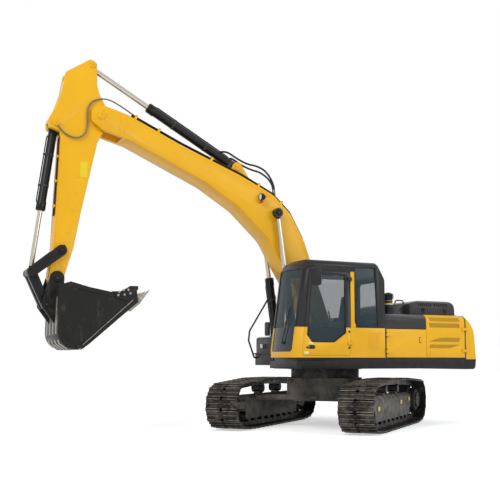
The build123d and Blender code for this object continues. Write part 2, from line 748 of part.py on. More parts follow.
def air_cleaner():
    """Round pre-cleaner on the house top, with its cap."""
    low = HOUSE_TOP + RUN_GAP
    profile = outline([(0, low), (72, low), (72, low + 85), (90, low + 100), (90, low + 135), (80, low + 150),
                       (80, low + 340), (98, low + 345), (98, low + 362), (60, low + 385), (14, low + 400),
                       (0, low + 400)])
    return Pos(-715, 1100, 0) * revolve(Plane.XZ * profile, Axis.Z, 360)


def exhaust():
    """Exhaust pipe with a slanted mouth."""
    x, y = EXHAUST
    pipe = post(x, y, 55, HOUSE_TOP + RUN_GAP, HOUSE_TOP + 300) + post(x, y, 75, HOUSE_TOP + RUN_GAP, HOUSE_TOP + 12)
    pipe -= post(x, y, 48, HOUSE_TOP + 30, HOUSE_TOP + 301)
    mouth = [(x - 80, HOUSE_TOP + 301), (x - 80, HOUSE_TOP + 200), (x + 80, HOUSE_TOP + 301)]
    return pipe - slab(mouth, y - 60, y + 60)


# Cab

def cab_section(z, front, bulge):
    """Plan of the cab's front at one height, wider and longer than the cab itself."""
    low = CAB_INNER - CAB_SPARE
    high = HOUSE_HALF + CAB_SPARE
    rear = CAB_REAR - CAB_SPARE
    edges = [
        Line((rear, low), (front, low)),
        ThreePointArc((front, low), (front + bulge, (low + high) / 2), (front, high)),
        Line((front, high), (rear, high)),
        Line((rear, high), (rear, low)),
    ]
    return Plane.XY.offset(z) * make_face(edges)


def cab_volume(inset):
    """The cab's outer shape, moved in by an inset."""
    # Columns: height, front at the sides, bulge of the middle
    rows = [(SILL - CAB_SPARE, 1330, 66), (1400, 1336, 66), (2790, 1146, 66), (CAB_ROOF + CAB_SPARE, 1000, 50)]
    front = loft([cab_section(z, nose - inset, bulge) for z, nose, bulge in rows], ruled=True)
    low, high = CAB_INNER + inset, HOUSE_HALF - inset
    rear, floor, top = CAB_REAR + inset, SILL + RUN_GAP + inset, CAB_ROOF - inset
    roof = CAB_ROOF_ROUND - inset
    across = wall([(low, floor), (high, floor), (high, top, roof), (low, top, roof)], rear - CAB_SPARE, CAB_NOSE)
    lean = REAR_LEAN / REAR_LEAN_HEIGHT
    along = slab([(rear, floor - CAB_SPARE), (CAB_NOSE, floor - CAB_SPARE), (CAB_NOSE, top + CAB_SPARE),
                  (rear + REAR_LEAN + lean * CAB_SPARE, top + CAB_SPARE), (rear, top - REAR_LEAN_HEIGHT, 200)],
                 low - CAB_SPARE, high + CAB_SPARE)
    return across & along & front


DOOR_OUTLINE = [(240, 1300, 30), (240, 2760, 30), (1060, 2760, 30), (1195, 1400, 30), (1195, 1300, 30)]
DOOR_WINDOW = [(345, 2710, 40), (345, 1700, 30), (575, 1540, 60), (1000, 1540, 90), (1095, 1660, 90), (1000, 2710, 40)]
REAR_WINDOW = [(150, 2860, 30), (150, 1880, 60), (70, 1800, 60), (-320, 1810, 50), (-275, 2860, 30)]
RIGHT_WINDOW = [(1060, 2720, 40), (1110, 1650, 60), (-320, 1650, 60), (-320, 2720, 40)]


def wide_cut(points, side):
    """A cutter through one side wall of the cab."""
    if side > 0:
        return slab(points, HOUSE_HALF - CAB_WALL - 25, HOUSE_HALF + 40)
    return slab(points, CAB_INNER - 40, CAB_INNER + CAB_WALL + 25)


def front_cut():
    """A cutter for the windscreen's two panes, which leaves no bar between them."""
    low, high = CAB_INNER + 60, HOUSE_HALF - 60
    return wall([(low, 1370, 60), (high, 1370, 60), (high, 2800, 50), (low, 2800, 50)], 900, 1600)


def rear_cut():
    """A cutter for the rear window."""
    low, high = CAB_INNER + 90, HOUSE_HALF - 90
    return wall([(low, 1950, 60), (high, 1950, 60), (high, 2630, 60), (low, 2630, 60)], CAB_REAR - 40, CAB_REAR + 80)


def roof_cut():
    """A cutter for the roof hatch."""
    return layer([(380, CAB_INNER + 150, 50), (380, HOUSE_HALF - 150, 50), (900, HOUSE_HALF - 150, 50),
                  (900, CAB_INNER + 150, 50)], CAB_ROOF - 120, CAB_ROOF + 40)


def cab_cutters():
    """All window cutters but the door's."""
    return [front_cut(), rear_cut(), roof_cut(), wide_cut(REAR_WINDOW, 1), wide_cut(RIGHT_WINDOW, -1)]


def post(x, y, radius, z_low, z_high):
    """A round upright pin."""
    return Pos(x, y, (z_low + z_high) / 2) * Cylinder(radius, z_high - z_low)


def cab_shell():
    """Hollow cab with its windows, its doorway and the pins of its door."""
    shell = cab_volume(0) - cab_volume(CAB_WALL)
    for cutter in cab_cutters():
        shell -= cutter
    shell -= slab(DOOR_OUTLINE, HOUSE_HALF - CAB_WALL - 25, HOUSE_HALF + 40)
    cover = outline([(-352, 1440, 25), (-132, 1440, 25), (-132, 1735, 25), (-352, 1735, 25)])
    shell += thick(cover, HOUSE_HALF - 1, HOUSE_HALF + 6)
    return shell + pins("cab_door")


def cab_door():
    """Door with its window hole, in the cab's side wall."""
    shell = cab_volume(1) - cab_volume(CAB_WALL)
    gap = 5
    region = thick(offset(outline(DOOR_OUTLINE), -gap), HOUSE_HALF - CAB_WALL - 25, HOUSE_HALF + 40)
    door = shell & region
    door -= slab(DOOR_WINDOW, HOUSE_HALF - 200, HOUSE_HALF + 100)
    return with_knuckles("cab_door", door)


def glass_layer():
    """The thin layer in which all panes lie."""
    return cab_volume(GLASS_INSET) - cab_volume(GLASS_INSET + GLASS)


def save_cab():
    """Write the cab's pieces."""
    shell = cab_shell()
    big = 6000
    save("cab_base", shell & Pos(0, 0, CAB_SPLIT - big / 2) * Box(big, big, big))
    save("cab_frame", shell & Pos(0, 0, CAB_SPLIT + big / 2) * Box(big, big, big))
    panes = glass_layer()
    glass = None
    for cutter in cab_cutters():
        pane = panes & cutter
        glass = pane if glass is None else glass + pane
    save("cab_glass", glass)
    save("cab_door", cab_door())
    save("door_glass", panes & slab(DOOR_WINDOW, HOUSE_HALF - 60, HOUSE_HALF + 40))
    save("cab_seat", cab_seat())
    save("cab_controls", cab_controls())


def cab_middle():
    """Middle of the cab's width, and half of its inner width."""
    return (CAB_INNER + HOUSE_HALF) / 2, (HOUSE_HALF - CAB_INNER) / 2 - CAB_WALL


def cab_seat():
    """Driver's seat with its cushion, back and headrest on a pedestal."""
    middle, inner = cab_middle()
    half = inner - CONSOLE_PLAY - CONSOLE_WIDTH - SEAT_GAP
    floor = SILL + RUN_GAP + CAB_WALL
    top = SEAT_Z + SEAT_THICK
    seat = block(60, 500, middle - half, middle + half, SEAT_Z, top)
    back = slab([(60, top - 20), (160, top - 20), (60, top + 580, 30), (-50, top + 580, 30)],
                middle - half + 10, middle + half - 10)
    head = slab([(30, top + 578), (50, top + 740, 30), (-50, top + 740, 30), (-40, top + 578)],
                middle - half / 2, middle + half / 2)
    stand = block(120, 440, middle - half + 50, middle + half - 50, floor + RUN_GAP, SEAT_Z + 1)
    return seat + back + head + stand


def cab_controls():
    """Side consoles with levers, and the travel pedals."""
    middle, inner = cab_middle()
    floor = SILL + CAB_WALL + 2 * RUN_GAP
    far = inner - CONSOLE_PLAY
    near = far - CONSOLE_WIDTH
    group = None
    for side in (1, -1):
        low, high = sorted((middle + side * near, middle + side * far))
        piece = block(120, 620, low, high, floor, CONSOLE_Z)
        piece += bar((560, CONSOLE_Z - 1), (590, CONSOLE_Z + 180), 12, (low + high) / 2)
        y = middle + side * 60
        piece += block(930, 1010, y - 45, y + 45, floor, floor + 60)
        piece += bar((965, floor + 50), (900, floor + 480), 10, y)
        group = piece if group is None else group + piece
    return group


# Rails and small pieces of the upper structure

def tube(points, radii, radius):
    """A round tube along a bent path."""
    path = FilletPolyline(*points, radius=radii)
    start = Plane(origin=path @ 0, z_dir=path % 0)
    return sweep(start * Circle(radius), path=path)


def handrails():
    """Rail beside the right front steps, and a grab rail on the cover in front of the hood."""
    y = -HOUSE_HALF + 80
    front = BOX_FRONT + 25 + RUN_GAP
    steps = tube([(front, y, 1280), (front + 60, y, 1280), (1012, y, 1620), (990, y, 1810), (520, y, 2560),
                  (420, y, 2560), (420, y, FUEL_TOP + RUN_GAP)], [30, 60, 60, 90, 60], RAIL_R)
    y = COVER_LEFT - 40
    low = COVER_TOP - 60
    grab = tube([(-905, y, low), (-935, y, COVER_TOP + 72), (-1120, y, COVER_TOP + 74), (-1070, y, low)],
                [35, 35], RAIL_R - 5)
    return steps + (grab - Pos(0, 0, RUN_GAP) * slab(COVER_SIDE, 300, COVER_LEFT))


def mirrors():
    """Two mirrors: one out from the cab's roof edge and one beside the right front box."""
    half, tall = MIRROR_HALF, MIRROR_TALL
    case = wall([(-half, -tall, 45), (half, -tall, 45), (half, tall, 45), (-half, tall, 45)], -20, 20)
    x, y, z = LEFT_MIRROR
    left = Pos(x, y, z) * Rot(0, 0, 45) * case
    bracket = [(1065, HOUSE_HALF + RUN_GAP, 2822), (1065, 1560, 2822), (x, y, 2822), (x, y, z + tall - 5)]
    left += tube(bracket, [60, 45], 10)
    x, y, z = RIGHT_MIRROR
    right = Pos(x, y, z) * case
    foot = -HOUSE_HALF + 40
    right += tube([(x, foot, LID_Z + 45 + RUN_GAP), (x, foot, z), (x, y + half - 5, z)], [30], 10)
    return left + right


def save_upper():
    """Write the upper structure."""
    save("deck", deck())
    save("counterweight", counterweight())
    save("engine_block", engine_block())
    save("house_frame", house_frame())
    save("engine_hood", engine_hood())
    save("side_door_front", side_door_front())
    save("side_door_rear", louvre_door("side_door_rear", 1))
    save("pump_door", louvre_door("pump_door", -1))
    save("fuel_tank", fuel_tank())
    save("hydraulic_tank", hydraulic_tank())
    save("toolbox", toolbox())
    save("toolbox_lid", toolbox_lid())
    save("air_cleaner", air_cleaner())
    save("exhaust", exhaust())
    save("handrails", handrails())
    save("mirrors", mirrors())


# Boom

# Columns: x, z, corner radius
BOOM_SIDE = [
    (FOOT[0] - 150, FOOT[1] + 20, 100), (FOOT[0] + 20, FOOT[1] - 150, 100), (FOOT[0] + 160, FOOT[1] + 20, 60),
    (1020, 2970, 300), (1300, 3450, 500), (1870, 3980, 800), (2500, 4370, 900), (3900, 4990, 300),
    (4420, 5130, 60), (4600, 5260, 100), (4600, 5480, 110), (4380, 5540, 60), (3980, 5435, 100),
    (3020, 5010, 500), (1870, 4570, 400), (1200, 4260, 500), (850, 3930, 300), (560, 3420, 400),
]


def boom():
    """Bent box boom with a forked tip, a foot boss and lugs for the arm cylinder."""
    side = outline(BOOM_SIDE)
    body = thick(side, -BOOM_HALF, BOOM_HALF)
    for spot, way in pipe_clamps():
        foot = (spot[0] + way[1] * 130, spot[1] - way[0] * 130)
        head = (spot[0] - way[1] * (PIPE_R + 12), spot[1] + way[0] * (PIPE_R + 12))
        body += bar_plate(foot, head, 45, PIPE_YS[0] - 30, PIPE_YS[1] + 30)
    hollow = [
        (330, 2050), (1020, 3100), (1300, 3500), (1870, 4010), (2500, 4400), (3900, 5020),
        (3930, 5390), (3020, 4980), (1870, 4540), (1200, 4225), (870, 3900), (590, 3400), (300, 2200),
    ]
    body -= slab(hollow, -BOOM_HALF + PLATE, BOOM_HALF - PLATE)
    fork = belt_face([(TIP[0] + 300, TIP[1], 300), (TIP[0] - 40, TIP[1] + 70, 350), (TIP[0] - 60, TIP[1] - 150, 380)])
    body -= thick(fork, -ARM_HALF - SIDE_GAP, ARM_HALF + SIDE_GAP)
    body -= pin(FOOT, PIN_R + 5 + RUN_GAP, -BOOM_HALF - 1, BOOM_HALF + 1)
    for side_sign in (1, -1):
        low, high = sorted((side_sign * (BOOM_HALF - 1), side_sign * (BOOM_CYL_Y - EYE_HALF + 5)))
        body += pin(BOOM_CYL_PIN, EYE_R - 15, low, high)
        lug = belt_face([(ARM_CYL_BASE[0] - 260, 4500, 10), (ARM_CYL_BASE[0] + 150, 4620, 10),
                         (ARM_CYL_BASE[0], ARM_CYL_BASE[1], 95)])
        body += sided(lug, EYE_HALF + SIDE_GAP, EYE_HALF + SIDE_GAP + 40, side_sign)
    body += pin(ARM_CYL_BASE, PIN_R, -EYE_HALF - 60, EYE_HALF + 60)
    body += pin(TIP, PIN_R + 10, -BOOM_HALF + 1, BOOM_HALF + 12)
    return body - pipe_pair(PIPE_R + RUN_GAP)


def boom_pipe_points():
    """Side view of the pipes along the boom's back, from its foot to its tip."""
    return [(430, 2640), (565, 3500), (830, 3975), (1190, 4310), (1800, 4605), (2990, 5070), (3880, 5462)]


def pipe_clamps():
    """Middle of each pipe clamp and the pipes' direction there."""
    points = boom_pipe_points()
    group = []
    # Columns: run of the pipe, part of the way along it
    for run, part in ((0, 0.8), (2, 0.5), (3, 0.45), (4, 0.5), (5, 0.45), (5, 0.92)):
        start, end = points[run], points[run + 1]
        span = hypot(end[0] - start[0], end[1] - start[1])
        spot = (start[0] + (end[0] - start[0]) * part, start[1] + (end[1] - start[1]) * part)
        group.append((spot, ((end[0] - start[0]) / span, (end[1] - start[1]) / span)))
    return group


def pipe_pair(radius):
    """Two pipes along the boom's back."""
    group = None
    for y in PIPE_YS:
        points = [(x, y, z) for x, z in boom_pipe_points()]
        pipe = tube(points, [250, 250, 400, 600, 900], radius)
        group = pipe if group is None else group + pipe
    return group


def bar_plate(start, end, width, y_low, y_high):
    """A flat bar between two points of the side view."""
    span = hypot(end[0] - start[0], end[1] - start[1])
    nx, nz = -(end[1] - start[1]) / span * width / 2, (end[0] - start[0]) / span * width / 2
    return slab([(start[0] + nx, start[1] + nz), (end[0] + nx, end[1] + nz), (end[0] - nx, end[1] - nz),
                 (start[0] - nx, start[1] - nz)], y_low, y_high)


def boom_lamp():
    """Round work lamp on a bracket on the left side of the boom."""
    y = BOOM_HALF + 78
    x, z = LAMP
    lamp = bar((x - 45, z - 12), (x + 50, z + 14), 70, y) + bar((x - 80, z - 22), (x, z), 48, y)
    lamp += block(x - 25, x + 25, BOOM_HALF + RUN_GAP, y + 5, z - 95, z - 83)
    return lamp + block(x - 12, x + 12, y - 15, y + 5, z - 90, z - 60)


def cylinder_barrel(base, end, y, radius, bore, length, eye_half):
    """A barrel with an eye and a neck at its base and a thicker gland at its open end."""
    span = hypot(end[0] - base[0], end[1] - base[1])
    neck_end = (base[0] + (end[0] - base[0]) * NECK / span, base[1] + (end[1] - base[1]) * NECK / span)
    barrel = thick(belt_face([(*base, EYE_R - 6), (*neck_end, EYE_R - 18)]), y - eye_half, y + eye_half)
    barrel += bar(base, end, radius, y, NECK, length)
    barrel += bar(base, end, radius + 9, y, length - 140, length)
    barrel -= pin(base, PIN_R + RUN_GAP, y - eye_half - 1, y + eye_half + 1)
    return barrel - bar(base, end, bore + RUN_GAP, y, NECK + 10, length + 1)


def boom_cylinder(side):
    """Barrel and rod of one boom cylinder."""
    y = side * BOOM_CYL_Y
    barrel = cylinder_barrel(BOOM_CYL_BASE, BOOM_CYL_PIN, y, BARREL_R, ROD_R, BOOM_BARREL_LENGTH, 35)
    span = hypot(BOOM_CYL_PIN[0] - BOOM_CYL_BASE[0], BOOM_CYL_PIN[1] - BOOM_CYL_BASE[1])
    low, high = sorted((y - side * EYE_HALF * 0.8, y + side * EYE_HALF))
    rod = pin(BOOM_CYL_PIN, EYE_R, low, high)
    rod += bar(BOOM_CYL_BASE, BOOM_CYL_PIN, ROD_R, y, BOOM_BARREL_LENGTH - BOOM_ROD_INSIDE, span - EYE_R + 10)
    return barrel, rod


def arm_cylinder():
    """Barrel and rod of the arm cylinder on top of the boom."""
    barrel = cylinder_barrel(ARM_CYL_BASE, ARM_REAR, 0, ARM_BARREL_R, ARM_ROD_R, ARM_BARREL_LENGTH, EYE_HALF)
    span = hypot(ARM_REAR[0] - ARM_CYL_BASE[0], ARM_REAR[1] - ARM_CYL_BASE[1])
    rod = pin(ARM_REAR, EYE_R, -EYE_HALF, EYE_HALF)
    rod += bar(ARM_CYL_BASE, ARM_REAR, ARM_ROD_R, 0, ARM_BARREL_LENGTH - ARM_ROD_INSIDE, span - EYE_R + 10)
    return barrel, rod


# Arm, bucket linkage and bucket

ARM_SIDE = [
    (4610, 6355, 60), (4500, 6290, 50), (4492, 5915), (4450, 5760), (4330, 5540, 120), (4310, 5240, 120),
    (4478, 4897), (4731, 3725), (4854, 3073), (4997, 2600), (5020, 2480, 60), (5215, 2480, 60),
    (5240, 2600), (5182, 3033), (5146, 3887), (5099, 4889), (5108, 5045, 20), (5290, 5105, 50),
    (5300, 5230, 60), (5170, 5478), (5083, 5747), (5025, 6075, 30),
]


def arm():
    """Tapered box arm with the lugs of its own cylinder and of the bucket cylinder."""
    body = slab(ARM_SIDE, -ARM_HALF, ARM_HALF)
    hollow = [
        (4640, 5840), (4620, 4850), (4780, 3740), (4900, 3200), (5130, 3200), (5110, 3885), (5060, 4880),
        (5070, 5100), (5040, 5700), (4980, 5840),
    ]
    body -= slab(hollow, -ARM_HALF + PLATE, ARM_HALF - PLATE)
    slot = EYE_HALF + SIDE_GAP
    body -= slab([(4300, 5950), (5100, 5950), (5100, 6500), (4300, 6500)], -slot - 20, slot + 20)
    span = hypot(ROCKER_END[0] - BUCKET_CYL_BASE[0], ROCKER_END[1] - BUCKET_CYL_BASE[1])
    way = ((ROCKER_END[0] - BUCKET_CYL_BASE[0]) / span, (ROCKER_END[1] - BUCKET_CYL_BASE[1]) / span)
    eye = (*BUCKET_CYL_BASE, EYE_R + 25)
    out = (BUCKET_CYL_BASE[0] + way[0] * 400 + 40, BUCKET_CYL_BASE[1] + way[1] * 400, EYE_R + 30)
    body -= thick(belt_face([eye, out]), -slot, slot)
    body -= pin(TIP, PIN_R + 10 + RUN_GAP, -ARM_HALF - 1, ARM_HALF + 1)
    body -= pin(ARM_TIP, PIN_R + RUN_GAP, -ARM_HALF - 1, ARM_HALF + 1)
    body += pin(BUCKET_CYL_BASE, PIN_R, -ARM_HALF + 1, ARM_HALF + 8)
    body += pin(ROCKER_PIVOT, PIN_R, -EAR_OUTER - 4, EAR_OUTER + 4)
    return body


def bucket_cylinder():
    """Barrel and rod of the bucket cylinder in front of the arm."""
    barrel = cylinder_barrel(BUCKET_CYL_BASE, ROCKER_END, 0, BUCKET_BARREL_R, BUCKET_ROD_R,
                             BUCKET_BARREL_LENGTH, EYE_HALF)
    span = hypot(ROCKER_END[0] - BUCKET_CYL_BASE[0], ROCKER_END[1] - BUCKET_CYL_BASE[1])
    rod = pin(ROCKER_END, EYE_R - 10, -EYE_HALF, EYE_HALF)
    start = BUCKET_BARREL_LENGTH - BUCKET_ROD_INSIDE
    rod += bar(BUCKET_CYL_BASE, ROCKER_END, BUCKET_ROD_R, 0, start, span - EYE_R + 20)
    return barrel, rod


def rocker():
    """Two plates from the arm to the rod's end."""
    face = belt_face([(ROCKER_PIVOT[0], ROCKER_PIVOT[1], 90), (ROCKER_END[0], ROCKER_END[1], 80)])
    face -= Pos(ROCKER_PIVOT[0], ROCKER_PIVOT[1]) * Circle(PIN_R + RUN_GAP)
    return both_sides(lambda side: sided(face, EAR_INNER, EAR_OUTER, side))


def bucket_link():
    """H-shaped link from the rod's end to the bucket."""
    ear = belt_face([(ROCKER_END[0], ROCKER_END[1], 80), (BUCKET_LINK[0], BUCKET_LINK[1], 72)])
    ear -= Pos(BUCKET_LINK[0], BUCKET_LINK[1]) * Circle(PIN_R + RUN_GAP)
    link = both_sides(lambda side: sided(ear, EYE_HALF + 8, EAR_INNER - 8, side))
    dx = (BUCKET_LINK[0] - ROCKER_END[0]) / 576
    dz = (BUCKET_LINK[1] - ROCKER_END[1]) / 576
    web = [
        (ROCKER_END[0] + dx * 300 - dz * 45, ROCKER_END[1] + dz * 300 + dx * 45),
        (ROCKER_END[0] + dx * 440 - dz * 45, ROCKER_END[1] + dz * 440 + dx * 45),
        (ROCKER_END[0] + dx * 440 + dz * 45, ROCKER_END[1] + dz * 440 - dx * 45),
        (ROCKER_END[0] + dx * 300 + dz * 45, ROCKER_END[1] + dz * 300 - dx * 45),
    ]
    return link + slab(web, -EYE_HALF - 9, EYE_HALF + 9)


BUCKET_SIDE = [
    (5150, 2430, 40), (5165, 1400, 280), (4750, 1400, 340), (3840, 2190), (3870, 2410, 20), (3990, 2440, 20),
    (4205, 2326, 60), (4655, 2409, 60), (4965, 2490, 30),
]
BUCKET_INSIDE = [
    (5126, 2200), (5141, 1424, 256), (4757, 1424, 316), (3700, 2350), (3700, 2800), (4900, 2800), (4925, 2330),
]
SIDE_CUTTER = [(4238, 2250), (4222, 2358), (4137, 2345), (4087, 2385), (3986, 2450, 15), (3850, 2452, 10),
               (3849, 2400, 10), (3933, 2290), (4020, 2200)]
TOOTH_SIDE = [(4010, 2090), (3960, 2030), (3800, 2170), (3634, 2400), (3820, 2275), (3880, 2200)]


def bucket():
    """Bucket of bent plate, open at its mouth, with two pairs of ears on its back."""
    body = slab(BUCKET_SIDE, -BUCKET_HALF, BUCKET_HALF)
    body -= pin(ARM_TIP, 190, -BUCKET_HALF + BUCKET_PLATE, BUCKET_HALF - BUCKET_PLATE)
    cutter = outline(SIDE_CUTTER)
    for side in (1, -1):
        body += sided(cutter, BUCKET_HALF - 1, BUCKET_HALF + 22, side)
    ear = belt_face([(5120, 1800, 20), (BUCKET_LINK[0], BUCKET_LINK[1], 80), (ARM_TIP[0], ARM_TIP[1], 118),
                     (5030, 2400, 20)])
    for side in (1, -1):
        body += sided(ear, EAR_INNER, EAR_OUTER, side)
    body -= slab(BUCKET_INSIDE, -BUCKET_HALF + BUCKET_PLATE, BUCKET_HALF - BUCKET_PLATE)
    body += pin(ARM_TIP, PIN_R, -EAR_OUTER - 6, EAR_OUTER + 6)
    body += pin(BUCKET_LINK, PIN_R, -EAR_OUTER - 6, EAR_OUTER + 6)
    return body


def bucket_teeth(body):
    """Row of teeth on the lip of the bucket's body."""
    group = None
    reach = BUCKET_HALF - 75
    for i in range(TOOTH_COUNT):
        y = -reach + 2 * reach * i / (TOOTH_COUNT - 1)
        tooth = slab(TOOTH_SIDE, y - 45, y + 45) - body
        group = tooth if group is None else group + tooth
    return group


def save_front():
    """Write the boom, the arm, the bucket and their cylinders."""
    save("boom", boom())
    save("boom_pipes", pipe_pair(PIPE_R))
    save("boom_lamp", boom_lamp())
    for label, side in (("left", 1), ("right", -1)):
        barrel, rod = boom_cylinder(side)
        save(f"boom_barrel_{label}", barrel)
        save(f"boom_rod_{label}", rod)
    barrel, rod = arm_cylinder()
    save("arm_barrel", barrel)
    save("arm_rod", rod)
    save("arm", arm())
    barrel, rod = bucket_cylinder()
    save("bucket_barrel", barrel)
    save("bucket_rod", rod)
    save("rocker", rocker())
    save("bucket_link", bucket_link())
    body = bucket()
    save("bucket", body)
    save("bucket_teeth", bucket_teeth(body))


save_undercarriage()
save_upper()
save_cab()
save_front()
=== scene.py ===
import json
from math import atan2, cos, exp, hypot, radians, sin, sqrt, tau

import bmesh
import bpy
from bpy.props import FloatProperty, FloatVectorProperty, PointerProperty
from mathutils import Matrix, Vector


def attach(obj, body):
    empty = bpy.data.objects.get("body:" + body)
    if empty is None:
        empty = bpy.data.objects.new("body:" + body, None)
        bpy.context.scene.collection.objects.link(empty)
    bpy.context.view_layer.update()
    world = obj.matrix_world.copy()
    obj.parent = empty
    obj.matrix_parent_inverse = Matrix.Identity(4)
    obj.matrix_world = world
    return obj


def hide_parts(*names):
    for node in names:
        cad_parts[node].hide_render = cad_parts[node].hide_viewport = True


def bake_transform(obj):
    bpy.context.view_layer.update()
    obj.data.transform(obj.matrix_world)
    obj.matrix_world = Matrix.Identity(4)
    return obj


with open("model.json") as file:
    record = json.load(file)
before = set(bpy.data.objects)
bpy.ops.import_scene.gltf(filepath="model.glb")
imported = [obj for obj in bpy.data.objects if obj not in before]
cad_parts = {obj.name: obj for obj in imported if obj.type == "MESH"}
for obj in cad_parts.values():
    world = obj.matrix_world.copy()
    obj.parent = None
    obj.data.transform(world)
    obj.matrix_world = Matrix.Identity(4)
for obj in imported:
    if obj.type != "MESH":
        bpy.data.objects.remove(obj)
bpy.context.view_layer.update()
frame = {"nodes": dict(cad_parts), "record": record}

bl_info = {
    "name": "Crawler Excavator Dressing",
    "version": (1, 0, 0),
    "blender": (4, 5, 0),
    "location": "View3D > Sidebar > Excavator",
    "description": "Dresses the solid model of a crawler excavator with finished shapes and paint",
    "category": "Object",
}


# Settings

def colour_setting(name, text, value):
    """A colour that the panel shows."""
    return FloatVectorProperty(name=name, description=text, subtype="COLOR", size=3, min=0, max=1, default=value)


def length_setting(name, text, value):
    """A length in metres that the panel shows."""
    return FloatProperty(name=name, description=text, subtype="DISTANCE", unit="LENGTH", min=0, default=value)


class ExcavatorPaint(bpy.types.PropertyGroup):
    """Colours of the finishes."""
    enamel: colour_setting("Enamel", "Colour of the boom, arm, doors and counterweight", (0.84, 0.44, 0.012))
    cab_grey: colour_setting("Cab grey", "Colour of the upper cab and the house top", (0.020, 0.020, 0.021))
    frame_black: colour_setting("Frame black", "Colour of the deck and the middle of the undercarriage",
                                (0.010, 0.010, 0.0105))
    dust: colour_setting("Dust", "Colour of the dust on the tracks", (0.30, 0.27, 0.23))
    steel: colour_setting("Steel", "Colour of bare worn steel", (0.42, 0.38, 0.33))
    rubber: colour_setting("Rubber", "Colour of the hoses and seals", (0.018, 0.018, 0.019))


class ExcavatorSizes(bpy.types.PropertyGroup):
    """Sizes of the small pieces."""
    edge: length_setting("Plate edge", "Rounding along the edges of plates", 0.004)
    bolt_width: length_setting("Bolt width", "Width across a bolt head", 0.030)
    bolt_height: length_setting("Bolt height", "Height of a bolt head", 0.014)


class ExcavatorStage(bpy.types.PropertyGroup):
    """Floor, light and camera."""
    floor_half: length_setting("Floor half size", "Half the width of the floor", 60.0)
    floor_glow: FloatProperty(name="Floor glow", description="How far the floor shows as white", min=0, default=0.5)
    sky_strength: FloatProperty(name="Sky strength", description="Light of the sky", min=0, default=0.58)
    key_strength: FloatProperty(name="Key strength", description="Light of the big lamp", min=0, default=1.9)
    lens: FloatProperty(name="Lens", description="Focal length in millimetres", min=10, default=60.25)
    shift_up: FloatProperty(name="Shift", description="Shift of the camera's frame", default=0.0832)
    camera_place: FloatVectorProperty(name="Camera", description="Place of the camera", subtype="XYZ",
                                      size=3, default=(7.813, 13.986, 1.203))
    camera_yaw: FloatProperty(name="Camera yaw", description="Direction of view from +X", subtype="ANGLE",
                              default=radians(245.898))
    camera_pitch: FloatProperty(name="Camera pitch", description="Upward tilt of the view", subtype="ANGLE",
                                default=radians(4.771))


def paint():
    """Current paint settings."""
    return bpy.context.scene.excavator_paint


def sizes():
    """Current sizes."""
    return bpy.context.scene.excavator_sizes


# Materials

BELT_LINE = 1.790
MASK_BLUR = 0.002


class Finish:
    """A material with its node tree and its main shader."""

    def __init__(self, name):
        self.material = bpy.data.materials.new(name)
        self.material.use_nodes = True
        self.tree = self.material.node_tree
        self.shader = self.tree.nodes["Principled BSDF"]
        self.feed(self.shader, {"Specular IOR Level": 0.18})

    def feed(self, node, inputs):
        """Give a node's inputs, by name or number, an output to follow or a constant."""
        for key, value in inputs.items():
            socket = node.inputs[key]
            if isinstance(value, bpy.types.NodeSocket):
                self.tree.links.new(value, socket)
            elif socket.type == "RGBA":
                socket.default_value = (*value[:3], 1)
            else:
                socket.default_value = value

    def node(self, kind, inputs, output, **properties):
        """Add a node, feed it and give one of its outputs."""
        node = self.tree.nodes.new(kind)
        for key, value in properties.items():
            setattr(node, key, value)
        self.feed(node, inputs)
        return node.outputs[output]

    def noise(self, scale, detail=4.0, roughness=0.55, stretch=(1, 1, 1)):
        """Noise on Object coordinates."""
        spot = self.node("ShaderNodeTexCoord", {}, "Object")
        spot = self.node("ShaderNodeMapping", {"Vector": spot, "Scale": stretch}, "Vector")
        return self.node("ShaderNodeTexNoise", {"Vector": spot, "Scale": scale, "Detail": detail,
                                                "Roughness": roughness}, "Fac")

    def ramp(self, source, low, high, start=0.0, end=1.0):
        """Remap a value from one range to another, clamped."""
        return self.node("ShaderNodeMapRange", {"Value": source, "From Min": low, "From Max": high,
                                                "To Min": start, "To Max": end}, "Result")

    def uneven(self, scale, detail, start, end, high=0.7):
        """A value that wanders between two levels."""
        return self.ramp(self.noise(scale, detail), 0.3, high, start, end)

    def mix(self, factor, first, second):
        """Mix two colours; each is a colour or an output."""
        return self.node("ShaderNodeMix", {0: factor, 6: first, 7: second}, 2, data_type="RGBA")

    def maths(self, operation, first, second):
        """One operation on two values."""
        return self.node("ShaderNodeMath", {0: first, 1: second}, 0, operation=operation)

    def facing(self, axis):
        """How far the surface faces along an axis, as a value from -1 to 1."""
        normal = self.node("ShaderNodeNewGeometry", {}, "Normal")
        return self.node("ShaderNodeSeparateXYZ", {0: normal}, axis)

    def spot(self, axis):
        """One of the Object coordinates."""
        place = self.node("ShaderNodeTexCoord", {}, "Object")
        return self.node("ShaderNodeSeparateXYZ", {0: place}, axis)

    def above(self, axis, level):
        """One past a level of a coordinate and zero short of it."""
        return self.ramp(self.spot(axis), level - MASK_BLUR, level + MASK_BLUR)

    def below(self, axis, level):
        """One short of a level of a coordinate and zero past it."""
        return self.ramp(self.spot(axis), level - MASK_BLUR, level + MASK_BLUR, 1, 0)

    def surface(self, colour, rough, relief=None, strength=0.0, depth=0.0, **others):
        """Feed the shader its colour, roughness, relief and other inputs, and give the material."""
        inputs = {"Base Color": colour, "Roughness": rough}
        if relief is not None:
            inputs["Normal"] = self.node("ShaderNodeBump", {"Strength": strength, "Distance": depth,
                                                            "Height": relief}, "Normal")
        inputs.update((key.replace("_", " "), value) for key, value in others.items())
        self.feed(self.shader, inputs)
        return self.material


def shade(colour, factor):
    """A colour made lighter or darker."""
    return tuple(min(1, channel * factor) for channel in colour)


